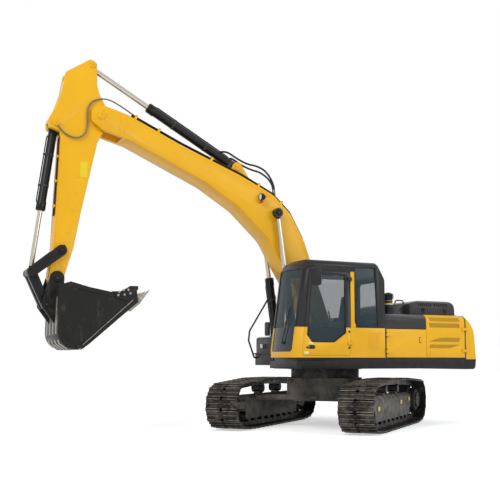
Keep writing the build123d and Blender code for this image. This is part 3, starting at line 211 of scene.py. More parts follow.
def enamel(name, colour, roughness=0.34, coat=0.08, dirt=0.12, second=None, mask=None):
    """Glossy machine paint, dusty and slightly uneven; a mask may bring in a second colour."""
    finish = Finish(name)
    body = finish.mix(finish.ramp(finish.noise(1.7, 5), 0.35, 0.7), shade(colour, 0.96), shade(colour, 1.03))
    if mask:
        body = finish.mix(mask(finish), body, second)
    specks = finish.ramp(finish.noise(38, 8, 0.7), 0.60, 0.78, 0, dirt)
    body = finish.mix(specks, body, paint().dust)
    if not mask:
        low = finish.ramp(finish.spot("Z"), 1.9, 0.9, 0, dirt * 0.8)
        film = finish.maths("MULTIPLY", low, finish.ramp(finish.noise(6, 6), 0.4, 0.7))
        body = finish.mix(film, body, paint().dust)
    return finish.surface(body, finish.uneven(4.5, 6, roughness - 0.06, roughness + 0.12, 0.75),
                          finish.noise(260, 2), 0.06, 0.0006, Coat_Weight=coat, Coat_Roughness=0.12)


def two_tone_and_painted_light(name, first, second, mask, roughness=0.32):
    """Enamel in two colours, the second one where a mask says so; on the house top and the box lid that second colour
    is painted sky light.
    """
    return enamel(name, first, roughness, 0.08, 0.10, second, mask)


def upper_grey(finish):
    """Door: dark above the cab's belt line."""
    return finish.above("Z", BELT_LINE)


def pillar_yellow(finish):
    """Cab frame: yellow on the pillar behind the door and below the belt line."""
    band = finish.above("X", 0.140)
    for limit in (finish.below("X", 0.236), finish.above("Y", 1.300), finish.below("Z", 2.772)):
        band = finish.maths("MULTIPLY", band, limit)
    return finish.maths("MAXIMUM", band, finish.below("Z", BELT_LINE))


def painted_top_light(finish):
    """House top: lighter and duller where it faces up, which is painted sky light; the box lid takes it too."""
    return finish.ramp(finish.facing("Z"), 0.35, 0.9)


def foot_band(finish):
    """Counterweight: dark band along its foot."""
    return finish.below("Z", 1.245)


def track_steel():
    """Dark shoe steel, rubbed bright on its raised edges and dusty in its hollows."""
    finish = Finish("track_shoe_steel")
    patches = finish.ramp(finish.noise(9, 8, 0.65), 0.42, 0.66)
    body = finish.mix(patches, (0.016, 0.0155, 0.015), (0.055, 0.050, 0.044))
    dust = finish.ramp(finish.noise(3.2, 7, 0.6), 0.48, 0.72, 0, 0.45)
    return finish.surface(finish.mix(dust, body, paint().dust), finish.uneven(14, 5, 0.34, 0.62),
                          finish.noise(85, 8, 0.7), 0.35, 0.002, Metallic=0.55)


def rubbed_edge():
    """Grouser edges rubbed by stones, bright in places and brown in others."""
    finish = Finish("rubbed_grouser_edge")
    patches = finish.ramp(finish.noise(11, 7, 0.65), 0.38, 0.62)
    return finish.surface(finish.mix(patches, (0.040, 0.034, 0.028), (0.26, 0.23, 0.19)),
                          finish.uneven(30, 5, 0.3, 0.55), finish.noise(120, 6), 0.2, 0.001, Metallic=0.6)


def dusty_paint():
    """Dark paint of the track frames under a film of pale dust, thickest on what faces up."""
    finish = Finish("dusty_frame_paint")
    up = finish.ramp(finish.facing("Z"), 0.1, 0.9, 0.55, 0.95)
    cover = finish.maths("MULTIPLY", up, finish.ramp(finish.noise(5, 8, 0.62), 0.30, 0.68))
    return finish.surface(finish.mix(cover, (0.045, 0.044, 0.043), paint().dust), finish.uneven(11, 6, 0.5, 0.8),
                          finish.noise(60, 8, 0.7), 0.25, 0.0015)


def cast_dark():
    """Dark casting with a pebbled skin."""
    finish = Finish("dark_casting")
    patches = finish.ramp(finish.noise(8, 7), 0.4, 0.7, 0, 0.5)
    return finish.surface(finish.mix(patches, (0.025, 0.025, 0.026), shade(paint().dust, 0.5)),
                          finish.uneven(20, 5, 0.42, 0.68), finish.noise(130, 8, 0.75), 0.4, 0.0015, Metallic=0.2)


def chrome():
    """Ground and plated rods, whose eyes are black castings."""
    finish = Finish("rod_chrome_plate")
    eye = 0.0
    for pin in (BOOM_CYL_PIN, ARM_REAR, ROCKER_END):
        squares = []
        for axis, place in zip("XZ", pin):
            away = finish.maths("SUBTRACT", finish.spot(axis), place)
            squares.append(finish.maths("MULTIPLY", away, away))
        near = finish.ramp(finish.maths("ADD", *squares), 0.0130, 0.0136, 1, 0)
        eye = finish.maths("MAXIMUM", eye, near)
    plate = finish.mix(finish.noise(60, 3), (0.42, 0.39, 0.35), (0.60, 0.57, 0.52))
    return finish.surface(finish.mix(eye, plate, (0.010, 0.010, 0.010)), finish.uneven(35, 4, 0.12, 0.24),
                          Metallic=finish.ramp(eye, 0, 1, 1, 0.1))


def bucket_paint():
    """Black bucket paint, dull and scuffed, with rubbed streaks."""
    finish = Finish("bucket_black_paint")
    scuffs = finish.ramp(finish.noise(7, 9, 0.7, (1, 1, 0.4)), 0.56, 0.74, 0, 0.30)
    body = finish.mix(finish.noise(2.2, 6), (0.008, 0.008, 0.0075), (0.016, 0.0155, 0.014))
    return finish.surface(finish.mix(scuffs, body, shade(paint().steel, 0.5)),
                          finish.uneven(12, 6, 0.34, 0.60, 0.75), finish.noise(45, 9, 0.7), 0.18, 0.0015)


def worn_steel():
    """Bare steel of the bucket's back, teeth and link ends, rubbed by soil."""
    finish = Finish("worn_bare_steel")
    streaks = finish.noise(16, 9, 0.65, (0.5, 1, 0.5))
    body = finish.mix(finish.ramp(streaks, 0.35, 0.7), shade(paint().steel, 0.45), paint().steel)
    brown = finish.ramp(finish.noise(5, 8, 0.7), 0.55, 0.75, 0, 0.4)
    return finish.surface(finish.mix(brown, body, (0.20, 0.11, 0.06)), finish.ramp(streaks, 0.3, 0.7, 0.30, 0.55),
                          streaks, 0.25, 0.001, Metallic=0.7)


def glass(name, tint, cover):
    """Tinted safety glass, clear above the belt line and close to opaque below it."""
    finish = Finish(name)
    below = finish.ramp(finish.spot("Z"), BELT_LINE - 0.005, BELT_LINE + 0.005, 1, 0)
    upper = finish.mix(finish.noise(1.3, 3), tint, shade(tint, 1.25))
    return finish.surface(finish.mix(below, upper, shade(tint, 0.45)), finish.uneven(3, 4, 0.02, 0.05),
                          Alpha=finish.ramp(below, 0, 1, cover, 0.93), IOR=1.6)


def rubber():
    """Black hose rubber."""
    finish = Finish("hose_rubber")
    body = finish.mix(finish.noise(25, 6), shade(paint().rubber, 0.8), shade(paint().rubber, 1.9))
    return finish.surface(body, finish.uneven(40, 4, 0.38, 0.58), finish.noise(400, 3), 0.15, 0.0005)


def moulded(name, colour):
    """Grained moulded plastic."""
    finish = Finish(name)
    body = finish.mix(finish.noise(9, 5), shade(colour, 0.85), shade(colour, 1.2))
    return finish.surface(body, finish.uneven(30, 5, 0.42, 0.6), finish.noise(700, 4, 0.7), 0.3, 0.0004)


def seat_cloth():
    """Dark woven cloth."""
    finish = Finish("seat_woven_cloth")
    place = finish.node("ShaderNodeTexCoord", {}, "Object")
    weave = finish.maths("MULTIPLY", *[
        finish.node("ShaderNodeTexWave", {"Vector": place, "Scale": 90, "Distortion": 0.6}, "Fac", bands_direction=way)
        for way in "XY"])
    return finish.surface(finish.mix(weave, (0.012, 0.012, 0.014), (0.045, 0.046, 0.052)), 0.85, weave, 0.5, 0.001,
                          Sheen_Weight=0.3)


def bright(name, colour, roughness):
    """Silvered or white smooth surface, such as a mirror's face or a lamp's lens; the pale colours given for the
    mirror's face and the lens are painted reflections.
    """
    finish = Finish(name)
    return finish.surface(finish.mix(finish.noise(12, 4), shade(colour, 0.9), colour),
                          finish.uneven(20, 4, roughness, roughness + 0.08))


MATERIALS = {}


def make_materials():
    """All finishes by name."""
    colours = paint()
    MATERIALS.update(
        yellow=enamel("yellow_enamel", colours.enamel),
        cab_grey=enamel("cab_grey_enamel", colours.cab_grey, 0.32, 0.08, 0.05),
        black=enamel("black_enamel", colours.frame_black, 0.38, 0.05, 0.05),
        barrel=enamel("barrel_black_enamel", (0.007, 0.007, 0.008), 0.30, 0.08, 0.02),
        track=track_steel(),
        rubbed=rubbed_edge(),
        dusty=dusty_paint(),
        casting=cast_dark(),
        chrome=chrome(),
        bucket=bucket_paint(),
        steel=worn_steel(),
        glass=glass("cab_glass_tint", (0.050, 0.085, 0.100), 0.30),
        rubber=rubber(),
        plastic=moulded("black_plastic", (0.022, 0.022, 0.023)),
        interior=moulded("cab_trim_plastic", (0.060, 0.060, 0.062)),
        cloth=seat_cloth(),
        # The lens's pale grey is a painted reflection of the chrome reflector behind it.
        lens=bright("lamp_lens", (0.75, 0.77, 0.78), 0.12),
        # The mirror face's pale blue-grey is a painted reflection.
        mirror=bright("mirror_face", (0.6, 0.65, 0.7), 0.03),
        white=bright("white_label", (0.80, 0.80, 0.79), 0.35),
        orange=bright("warning_yellow", (0.85, 0.62, 0.03), 0.35),
        # Near-black sheet behind the louvre slots: painted shade for their depth.
        gauze=moulded("louvre_gauze", (0.010, 0.010, 0.010)),
        hose_grey=moulded("grey_hose_cover", (0.16, 0.16, 0.15)),
        rust=moulded("bracket_orange", (0.45, 0.12, 0.03)),
        cab_door=two_tone_and_painted_light("cab_door_enamel", colours.enamel, colours.cab_grey, upper_grey),
        cab_frame=two_tone_and_painted_light("cab_frame_enamel", colours.cab_grey, colours.enamel, pillar_yellow),
        # House top: the lighter grey on faces that look up is painted sky light.
        house_top=two_tone_and_painted_light("house_top_enamel", (0.034, 0.034, 0.035), (0.13, 0.13, 0.125), painted_top_light, 0.4),
        weight=two_tone_and_painted_light("counterweight_enamel", colours.enamel, colours.frame_black, foot_band),
        # Box lid: the grey on faces that look up is painted sky light.
        lid_grey=two_tone_and_painted_light("box_lid_enamel", colours.frame_black, (0.22, 0.22, 0.21), painted_top_light, 0.45),
    )


NODE_FINISH = {
    "yellow": ("counterweight side_door_front side_door_rear pump_door fuel_tank hydraulic_tank cab_base cab_door "
               "boom arm"),
    "cab_grey": "cab_frame house_frame engine_hood",
    "black": "deck toolbox toolbox_lid rocker bucket_link exhaust handrails",
    "barrel": "boom_barrel_left boom_barrel_right arm_barrel bucket_barrel boom_pipes",
    "track": "track_left track_right slew_ring",
    "dusty": "track_frame_left track_frame_right car_body",
    "casting": "idler_left idler_right sprocket_left sprocket_right rollers_left rollers_right engine_block",
    "chrome": "boom_rod_left boom_rod_right arm_rod bucket_rod",
    "bucket": "bucket",
    "steel": "bucket_teeth",
    "glass": "cab_glass door_glass",
    "plastic": "air_cleaner mirrors",
    "interior": "cab_controls",
    "cloth": "cab_seat",
    "lens": "boom_lamp",
}


def body_of_node(name):
    """Body that a node rides on."""
    for body, members in frame["record"]["behaviour"]["bodies"].items():
        if name in members:
            return body
    raise KeyError(name)


def slot_of_node(name):
    """Material slot that the record gives a node."""
    for row in frame["record"]["subparts"]:
        if row["node"] == name:
            return row["material_slot"]
    raise KeyError(name)


def paint_nodes():
    """Give every carried-over node its finish."""
    for finish, names in NODE_FINISH.items():
        for name in names.split():
            materials = frame["nodes"][name].data.materials
            materials.clear()
            materials.append(MATERIALS[finish])


# Mesh building

SHARP_ANGLE = 35


def new_object(name, data):
    """An object in the scene."""
    piece = bpy.data.objects.new(name, data)
    bpy.context.scene.collection.objects.link(piece)
    return piece


def final_mesh(piece):
    """A mesh of what a piece's modifiers or its curve settings make."""
    return bpy.data.meshes.new_from_object(piece.evaluated_get(bpy.context.evaluated_depsgraph_get()))


def bake(piece):
    """Put a piece's modifiers into its mesh."""
    mesh = final_mesh(piece)
    mesh.name = piece.name
    piece.modifiers.clear()
    piece.data = mesh


def smooth(mesh):
    """Shade every face of a mesh smooth."""
    for face in mesh.polygons:
        face.use_smooth = True


def join_body(piece, body):
    """Let a piece ride on a body."""
    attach(piece, body)


def axes(direction):
    """A direction and two more that are square to it."""
    way = Vector(direction).normalized()
    across = way.orthogonal().normalized()
    return way, across, way.cross(across)


def rectangle(x0, x1, z0, z1, radius, steps=5):
    """The outline of a rectangle with rounded corners."""
    ring = []
    for turn, (x, z) in enumerate(((x0 + radius, z0 + radius), (x1 - radius, z0 + radius),
                                   (x1 - radius, z1 - radius), (x0 + radius, z1 - radius))):
        for k in range(steps + 1):
            angle = tau / 4 * (turn + 2 + k / steps)
            ring.append((x + radius * cos(angle), z + radius * sin(angle)))
    return ring


def disc(centre, radius, count=28):
    """The outline of a circle."""
    return [(centre[0] + radius * cos(tau * k / count), centre[1] + radius * sin(tau * k / count))
            for k in range(count)]


class Shape:
    """A mesh in the making, whose faces carry their finishes."""

    def __init__(self):
        self.mesh = bmesh.new()
        self.finishes = []

    def paint(self, faces, finish, smooth_faces=False):
        """Give new faces a finish."""
        if finish not in self.finishes:
            self.finishes.append(finish)
        for face in faces:
            face.material_index = self.finishes.index(finish)
            face.smooth = smooth_faces

    def skin(self, rings, finish):
        """A closed solid through rings of points."""
        rings = [[self.mesh.verts.new(point) for point in ring] for ring in rings]
        faces = [self.mesh.faces.new(rings[0]), self.mesh.faces.new(rings[-1][::-1])]
        for first, second in zip(rings, rings[1:]):
            for i in range(len(first)):
                j = (i + 1) % len(first)
                faces.append(self.mesh.faces.new((first[j], first[i], second[i], second[j])))
        self.paint(faces, finish)

    def prism(self, points, axis, low, high, finish):
        """An outline in the two other coordinates, swept along an axis."""
        order = {"x": (2, 0, 1), "y": (0, 2, 1), "z": (0, 1, 2)}[axis]
        self.skin([[[(*point, level)[k] for k in order] for point in points] for level in (low, high)], finish)

    def plate(self, points, side, near, far, finish):
        """An outline between two distances from the middle plane, on one side of it."""
        self.prism(points, "y", *sorted((side * near, side * far)), finish)

    def block(self, x, y, z, finish):
        """A block between pairs of coordinates."""
        self.prism([(x[0], z[0]), (x[1], z[0]), (x[1], z[1]), (x[0], z[1])], "y", y[0], y[1], finish)

    def turned(self, profile, centre, direction, finish, segments=28):
        """A profile of (radius, distance) turned round a direction."""
        way, across, other = axes(direction)
        rings = []
        for radius, distance in profile:
            middle = Vector(centre) + way * distance
            rings.append([self.mesh.verts.new(middle + (across * cos(tau * k / segments) +
                                                        other * sin(tau * k / segments)) * radius)
                          for k in range(segments if radius else 1)])
        faces = []
        for first, second in zip(rings, rings[1:]):
            for k in range(segments):
                m = (k + 1) % segments
                corners = (first[k % len(first)], second[k % len(second)], second[m % len(second)],
                           first[m % len(first)])
                faces.append(self.mesh.faces.new(list(dict.fromkeys(corners))))
        self.paint(faces, finish, True)

    def tube(self, points, radius, finish, closed=False, resolution=3):
        """A round tube along a smooth line through a route's control points."""
        mesh = curve_mesh(points, radius, closed, resolution)
        before = len(self.mesh.faces)
        self.mesh.from_mesh(mesh)
        self.mesh.faces.ensure_lookup_table()
        self.paint(self.mesh.faces[before:], finish, True)
        bpy.data.meshes.remove(mesh)

    def bolt(self, spot, direction, finish, width=None, height=None):
        """A hexagon head with a washer under it."""
        half = (width or sizes().bolt_width) / 2
        tall = height or sizes().bolt_height
        self.turned([(half * 1.35, 0), (half * 1.35, tall * 0.2), (half, tall * 0.2)], spot, direction, finish, 14)
        self.turned([(half * 1.12, tall * 0.2), (half * 1.12, tall * 0.9), (half * 0.9, tall), (0, tall)], spot,
                    direction, finish, 6)

    def done(self, name, body=None, bevel=0.0, segments=2, replaces=()):
        """Make the object; its faces turn outwards and its sharp edges are rounded."""
        bmesh.ops.recalc_face_normals(self.mesh, faces=self.mesh.faces)
        mesh = bpy.data.meshes.new(name)
        self.mesh.to_mesh(mesh)
        self.mesh.free()
        for finish in self.finishes:
            mesh.materials.append(MATERIALS[finish])
        piece = new_object(name, mesh)
        if bevel:
            soften(piece, bevel, segments, SHARP_ANGLE)
        else:
            mesh.set_sharp_from_angle(angle=radians(SHARP_ANGLE))
        if replaces:
            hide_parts(*replaces)
        if body:
            join_body(piece, body)
        return piece

    def fit(self, name, node, bevel=0.0, segments=2):
        """Make the object on a node's body."""
        self.done(name, body_of_node(node), bevel, segments)


def soften(piece, width, segments=2, angle=30):
    """Round a piece's sharp edges."""
    smooth(piece.data)
    bevel = piece.modifiers.new("edges", "BEVEL")
    bevel.width = width
    bevel.segments = segments
    bevel.limit_method = "ANGLE"
    bevel.angle_limit = radians(angle)
    bevel.harden_normals = True
    bake(piece)


def curve_object(points, radius, closed=False, resolution=3):
    """A curve whose control points are the route's points."""
    data = bpy.data.curves.new("route", "CURVE")
    data.dimensions = "3D"
    data.bevel_depth = radius
    data.bevel_resolution = resolution
    data.use_fill_caps = True
    spline = data.splines.new("NURBS")
    spline.points.add(len(points) - 1)
    for slot, point in zip(spline.points, points):
        slot.co = (*point, 1)
    spline.order_u = 3
    spline.use_endpoint_u = not closed
    spline.use_cyclic_u = closed
    spline.resolution_u = 5
    return new_object("route", data)


def curve_mesh(points, radius, closed=False, resolution=3):
    """The mesh of such a curve."""
    piece = curve_object(points, radius, closed, resolution)
    mesh, data = final_mesh(piece), piece.data
    bpy.data.objects.remove(piece)
    bpy.data.curves.remove(data)
    return mesh


def dress(node, finish, width=None):
    """A node's own form with its plate edges rounded, standing for the node."""
    mesh = frame["nodes"][node].data.copy()
    work = bmesh.new()
    work.from_mesh(mesh)
    bmesh.ops.remove_doubles(work, verts=work.verts, dist=1e-5)
    bmesh.ops.dissolve_limit(work, angle_limit=radians(1), verts=work.verts, edges=work.edges, delimit={"NORMAL"})
    work.to_mesh(mesh)
    work.free()
    mesh.materials.clear()
    mesh.materials.append(MATERIALS[finish])
    piece = new_object(node + "_finished", mesh)
    soften(piece, sizes().edge if width is None else width)
    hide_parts(node)
    join_body(piece, body_of_node(node))


# Repeats

def repeat_tree():
    """A node tree that puts a unit on every point, turned by the point's own turn."""
    tree = bpy.data.node_groups.new("repeat_on_places", "GeometryNodeTree")
    face = tree.interface
    face.new_socket("Places", in_out="INPUT", socket_type="NodeSocketGeometry")
    face.new_socket("Unit", in_out="INPUT", socket_type="NodeSocketObject")
    face.new_socket("Finish", in_out="INPUT", socket_type="NodeSocketMaterial")
    face.new_socket("Repeats", in_out="OUTPUT", socket_type="NodeSocketGeometry")
    entry = tree.nodes.new("NodeGroupInput")
    leave = tree.nodes.new("NodeGroupOutput")
    unit = tree.nodes.new("GeometryNodeObjectInfo")
    turn = tree.nodes.new("GeometryNodeInputNamedAttribute")
    turn.data_type = "FLOAT_VECTOR"
    turn.inputs["Name"].default_value = "turn"
    euler = tree.nodes.new("FunctionNodeEulerToRotation")
    place = tree.nodes.new("GeometryNodeInstanceOnPoints")
    real = tree.nodes.new("GeometryNodeRealizeInstances")
    finish = tree.nodes.new("GeometryNodeSetMaterial")
    for source, target in (
        (entry.outputs["Unit"], unit.inputs["Object"]),
        (entry.outputs["Places"], place.inputs["Points"]),
        (unit.outputs["Geometry"], place.inputs["Instance"]),
        (turn.outputs["Attribute"], euler.inputs["Euler"]),
        (euler.outputs["Rotation"], place.inputs["Rotation"]),
        (place.outputs["Instances"], real.inputs["Geometry"]),
        (real.outputs["Geometry"], finish.inputs["Geometry"]),
        (entry.outputs["Finish"], finish.inputs["Material"]),
        (finish.outputs["Geometry"], leave.inputs["Repeats"]),
    ):
        tree.links.new(source, target)
    return tree


def repeat(name, unit, places, body, slot, finish, replaces=()):
    """Copies of a unit at places, each a spot and a turn, as one plain mesh."""
    tree = bpy.data.node_groups.get("repeat_on_places") or repeat_tree()
    mesh = bpy.data.meshes.new(name)
    mesh.from_pydata([spot for spot, _ in places], [], [])
    turns = mesh.attributes.new("turn", "FLOAT_VECTOR", "POINT")
    turns.data.foreach_set("vector", [value for _, turn in places for value in turn])
    piece = new_object(name, mesh)
    modifier = piece.modifiers.new("repeat", "NODES")
    modifier.node_group = tree
    inputs = {item.name: item.identifier for item in tree.interface.items_tree if item.in_out == "INPUT"}
    modifier[inputs["Unit"]] = unit
    modifier[inputs["Finish"]] = MATERIALS[finish]
    bake(piece)
    unit_mesh = unit.data
    bpy.data.objects.remove(unit)
    bpy.data.meshes.remove(unit_mesh)
    if replaces:
        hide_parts(*replaces)
    join_body(piece, body)


# Places

UNDER_YAW = radians(42.8)
GAUGE_HALF = 1.19
SHOE_COUNT = 46
SHOE_HALF = 0.30
SHOE_PLATE = 0.012
GROUSER = 0.026
BELT = [(-1.35, 0.176, 0.150), (1.35, 0.176, 0.150), (1.725, 0.425, 0.374), (0.5, 0.724, 0.150),
        (-0.5, 0.724, 0.150), (-1.725, 0.440, 0.379)]
SHOE_PROFILE = [(0.0, 0.0), (0.03, 1.0), (0.10, 1.0), (0.15, 0.06), (0.43, 0.06), (0.46, 0.85), (0.52, 0.85),
                (0.55, 0.06), (0.83, 0.06), (0.87, 0.9), (0.94, 0.9), (0.98, 0.0)]
WINDOW_HALF = 0.030
SPROCKET_X, SPROCKET_Z = -1.725, 0.440

SIDE = 1.366
FOOT = (0.099, 1.715)
TIP = (4.429, 5.391)
ARM_REAR = (4.581, 6.264)
ARM_TIP = (5.118, 2.569)
BUCKET_CYL_BASE = (5.179, 5.181)
ROCKER_PIVOT = (5.053, 3.033)
ROCKER_END = (5.523, 2.658)
BUCKET_LINK = (5.287, 2.132)
BOOM_CYL_BASE = (0.800, 1.350)
BOOM_CYL_PIN = (1.160, 3.915)
ARM_CYL_BASE = (1.849, 4.753)

# Columns: body, slot, pin, half width that the cap stands on, radius
PIN_CAPS = [
    ("upper", "cast_dark", FOOT, 0.262, 0.075), ("boom", "yellow_paint", BOOM_CYL_PIN, 0.404, 0.062),
    ("boom", "yellow_paint", TIP, 0.262, 0.085), ("boom", "yellow_paint", ARM_CYL_BASE, 0.100, 0.062),
    ("arm", "yellow_paint", ARM_REAR, 0.172, 0.062), ("arm", "yellow_paint", BUCKET_CYL_BASE, 0.178, 0.058),
    ("arm", "yellow_paint", ROCKER_PIVOT, 0.231, 0.060), ("bucket", "bucket_steel", ARM_TIP, 0.233, 0.066),
    ("bucket", "bucket_steel", BUCKET_LINK, 0.233, 0.060),
]


def under(x, y, z):
    """A place of the undercarriage, given in its own frame."""
    return (x * cos(UNDER_YAW) - y * sin(UNDER_YAW), x * sin(UNDER_YAW) + y * cos(UNDER_YAW), z)


def heading(direction):
    """Turn that lays a unit's own Z along a direction."""
    return tuple(Vector(direction).to_track_quat("Z", "Y").to_euler())


# Tracks

def belt_runs():
    """Lines and arcs of the tight belt round the shoes' outer faces, anticlockwise."""
    normals = []
    for (x0, z0, r0), (x1, z1, r1) in zip(BELT, BELT[1:] + BELT[:1]):
        span = hypot(x1 - x0, z1 - z0)
        dx, dz = (x1 - x0) / span, (z1 - z0) / span
        lean = (r0 - r1) / span
        side = sqrt(1 - lean * lean)
        normals.append((dx * lean + dz * side, dz * lean - dx * side))
    runs = []
    for i, (x, z, r) in enumerate(BELT):
        start = atan2(normals[i - 1][1], normals[i - 1][0])
        turn = (atan2(normals[i][1], normals[i][0]) - start) % tau
        if turn > 1e-6:
            runs.append((r * turn, lambda t, x=x, z=z, r=r, s=start: (x + r * cos(s + t / r), z + r * sin(s + t / r))))
        x1, z1, r1 = BELT[(i + 1) % len(BELT)]
        nx, nz = normals[i]
        first = Vector((x + r * nx, z + r * nz))
        last = Vector((x1 + r1 * nx, z1 + r1 * nz))
        length = (last - first).length
        runs.append((length, lambda t, a=first, b=last, n=length: tuple(a.lerp(b, t / n))))
    return runs


def shoe_places(side):
    """Where each shoe of one track starts, its turn, and the mean pitch."""
    runs = belt_runs()
    whole = sum(length for length, _ in runs)

    def spot(distance):
        distance %= whole
        for length, point in runs:
            if distance <= length:
                return point(distance)
            distance -= length
        return runs[0][1](0)

    corners = [spot(whole * i / SHOE_COUNT) for i in range(SHOE_COUNT)]
    places = []
    for (x0, z0), (x1, z1) in zip(corners, corners[1:] + corners[:1]):
        turn = (0, -atan2(z1 - z0, x1 - x0), UNDER_YAW)
        places.append((under(x0, side * GAUGE_HALF, z0), turn))
    return places, whole / SHOE_COUNT


def shoe_unit(pitch):
    """One shoe with three grousers, its bolts and its pair of links."""
    shape = Shape()
    tread = [(share * pitch, -rise * (GROUSER - 0.0006)) for share, rise in SHOE_PROFILE]
    plate = tread + [(pitch * 1.03, 0.0), (pitch * 1.03, 0.005), (pitch * 0.95, SHOE_PLATE), (0.0, SHOE_PLATE)]
    notched = [(max(0.16 * pitch, min(0.82 * pitch, x)), z) for x, z in plate[3:9]]
    notched += [(0.82 * pitch, SHOE_PLATE), (0.16 * pitch, SHOE_PLATE)]
    for points, low, high in ((plate, -SHOE_HALF, -WINDOW_HALF), (plate, WINDOW_HALF, SHOE_HALF),
                              (notched, -WINDOW_HALF, WINDOW_HALF)):
        shape.prism(points, "y", low, high, "track")
    for y in (-0.064, 0.064):
        for share in (0.29, 0.69):
            shape.bolt((share * pitch, y, -0.0016), (0, 0, -1), "track", 0.024, 0.012)
    link = [(0.02, SHOE_PLATE), (pitch * 0.9, SHOE_PLATE), (pitch * 0.98, 0.045), (pitch * 1.06, 0.055),
            (pitch * 1.06, 0.085), (pitch * 0.96, 0.098), (pitch * 0.08, 0.098), (0.0, 0.085), (0.0, 0.05)]
    for low, high in ((-0.082, -0.054), (0.054, 0.082)):
        shape.prism(link, "y", low, high, "track")
    shape.turned([(0.026, -0.084), (0.030, -0.080), (0.030, 0.080), (0.026, 0.084)], (0.012, 0, 0.066), (0, 1, 0),
                 "track", 12)
    return shape.done("shoe_unit", bevel=0.0025, segments=1)


def edge_unit(pitch):
    """The rubbed edges of one shoe's grousers."""
    shape = Shape()
    for low, high, rise in ((0.035, 0.095, 1.0), (0.465, 0.515, 0.85), (0.875, 0.935, 0.9)):
        top = -rise * GROUSER
        for near, far in ((-SHOE_HALF + 0.002, -WINDOW_HALF), (WINDOW_HALF, SHOE_HALF - 0.002)):
            shape.block((low * pitch, high * pitch), (near, far), (top, top + 0.003), "steel")
    return shape.done("edge_unit")


def lay_tracks():
    """Both endless tracks."""
    for side, label in ((1, "left"), (-1, "right")):
        places, pitch = shoe_places(side)
        node = "track_" + label
        riding = places, body_of_node(node), slot_of_node(node)
        repeat("shoes_" + label, shoe_unit(pitch), *riding, "track", (node,))
        repeat("shoe_edges_" + label, edge_unit(pitch), *riding, "rubbed")


# Bolts

def circle_of(centre, direction, radius, count, start=0.0):
    """Places round a circle."""
    way, across, other = axes(direction)
    ring = []
    for k in range(count):
        angle = start + tau * k / count
        spot = Vector(centre) + (across * cos(angle) + other * sin(angle)) * radius
        ring.append((tuple(spot), heading(way)))
    return ring


# Columns: distance outside the track's middle, radius of the circle, number of bolts
SPROCKET_BOLTS = [(0.205, 0.120, 12), (0.165, 0.180, 18)]
RING_BOLTS_Z, RING_BOLTS_RADIUS, RING_BOLTS = 0.901, 0.60, 36
BASE_BOLTS = [(0.27, 1.44), (0.27, 1.72), (1.10, 1.44)]
CUTTER_BOLTS = [(4.19, 2.290), (4.175, 2.345), (4.085, 2.300), (4.10, 2.375), (4.02, 2.385), (3.985, 2.325)]
CHEEK_Y = 0.581


def bolt_places():
    """Bolts of each body."""
    found = {"undercarriage": [], "upper": [], "arm": [], "bucket": []}
    for side in (1, -1):
        for reach, radius, count in SPROCKET_BOLTS:
            centre = under(SPROCKET_X, side * (GAUGE_HALF + reach), SPROCKET_Z)
            found["undercarriage"] += circle_of(centre, under(0, side, 0), radius, count)
    found["undercarriage"] += circle_of((0, 0, RING_BOLTS_Z), (0, 0, 1), RING_BOLTS_RADIUS, RING_BOLTS)
    for x, z in BASE_BOLTS:
        found["upper"].append(((x, SIDE - 0.001, z), heading((0, 1, 0))))
    for side in (1, -1):
        out = heading((0, side, 0))
        for x, z in CUTTER_BOLTS:
            found["bucket"].append(((x, side * CHEEK_Y, z), out))
        for dx, dz in ((-0.05, 0.08), (0.05, -0.04)):
            found["arm"].append(((ROCKER_PIVOT[0] + dx, side * (ARM_SIDE + 0.001), ROCKER_PIVOT[1] + dz), out))
    return found


def set_bolts():
    """All bolt heads that stand in rows and circles."""
    for body, places in bolt_places().items():
        shape = Shape()
        shape.bolt((0, 0, -0.001), (0, 0, 1), "casting")
        finish = {"undercarriage": "dusty", "bucket": "steel"}.get(body, "casting")
        repeat("bolts_" + body, shape.done("bolt_unit"), places, body, "cast_dark", finish)


def cap_pins():
    """Round caps with keeper bolts on the ends of the pins."""
    for body, slot, pin, half, radius in PIN_CAPS:
        shape = Shape()
        finish = "bucket" if body == "bucket" or pin in (BOOM_CYL_PIN, ROCKER_PIVOT) else "yellow"
        for side in (1, -1):
            centre, out = (pin[0], side * half, pin[1]), (0, side, 0)
            shape.turned([(radius, -0.004), (radius, 0.008), (radius * 0.9, 0.012), (radius * 0.55, 0.012),
                          (radius * 0.5, 0.017), (0, 0.017)], centre, out, finish, 32)
            shape.turned([(0.007, 0.015), (0.007, 0.024), (0.004, 0.028), (0.004, 0.034), (0, 0.035)], centre, out,
                         "steel", 10)
        for spot, _ in circle_of((pin[0], half, pin[1]), (0, 1, 0), radius * 0.76, 4, 0.4):
            for side in (1, -1):
                shape.bolt((spot[0], side * (half + 0.011), spot[2]), (0, side, 0), finish, 0.016, 0.008)
        shape.done(f"pin_caps_{body}_{int(pin[0] * 1000)}", body)


# Boom and arm

BOOM_INSET = 0.258
BOOM_SIDE = 0.260
ARM_SIDE = 0.170
BOOM_PIPES = [(0.430, 2.640), (0.565, 3.500), (0.830, 3.975), (1.190, 4.310), (1.800, 4.605), (2.990, 5.070),
              (3.880, 5.462)]
PIPE_Y = (0.130, 0.185)
CLAMP_BOLT_Y = (0.108, 0.1575, 0.207)
# Columns: run of the pipe, share of its length
PIPE_CLAMPS = [(0, 0.8), (2, 0.5), (3, 0.45), (4, 0.5), (5, 0.45), (5, 0.92)]

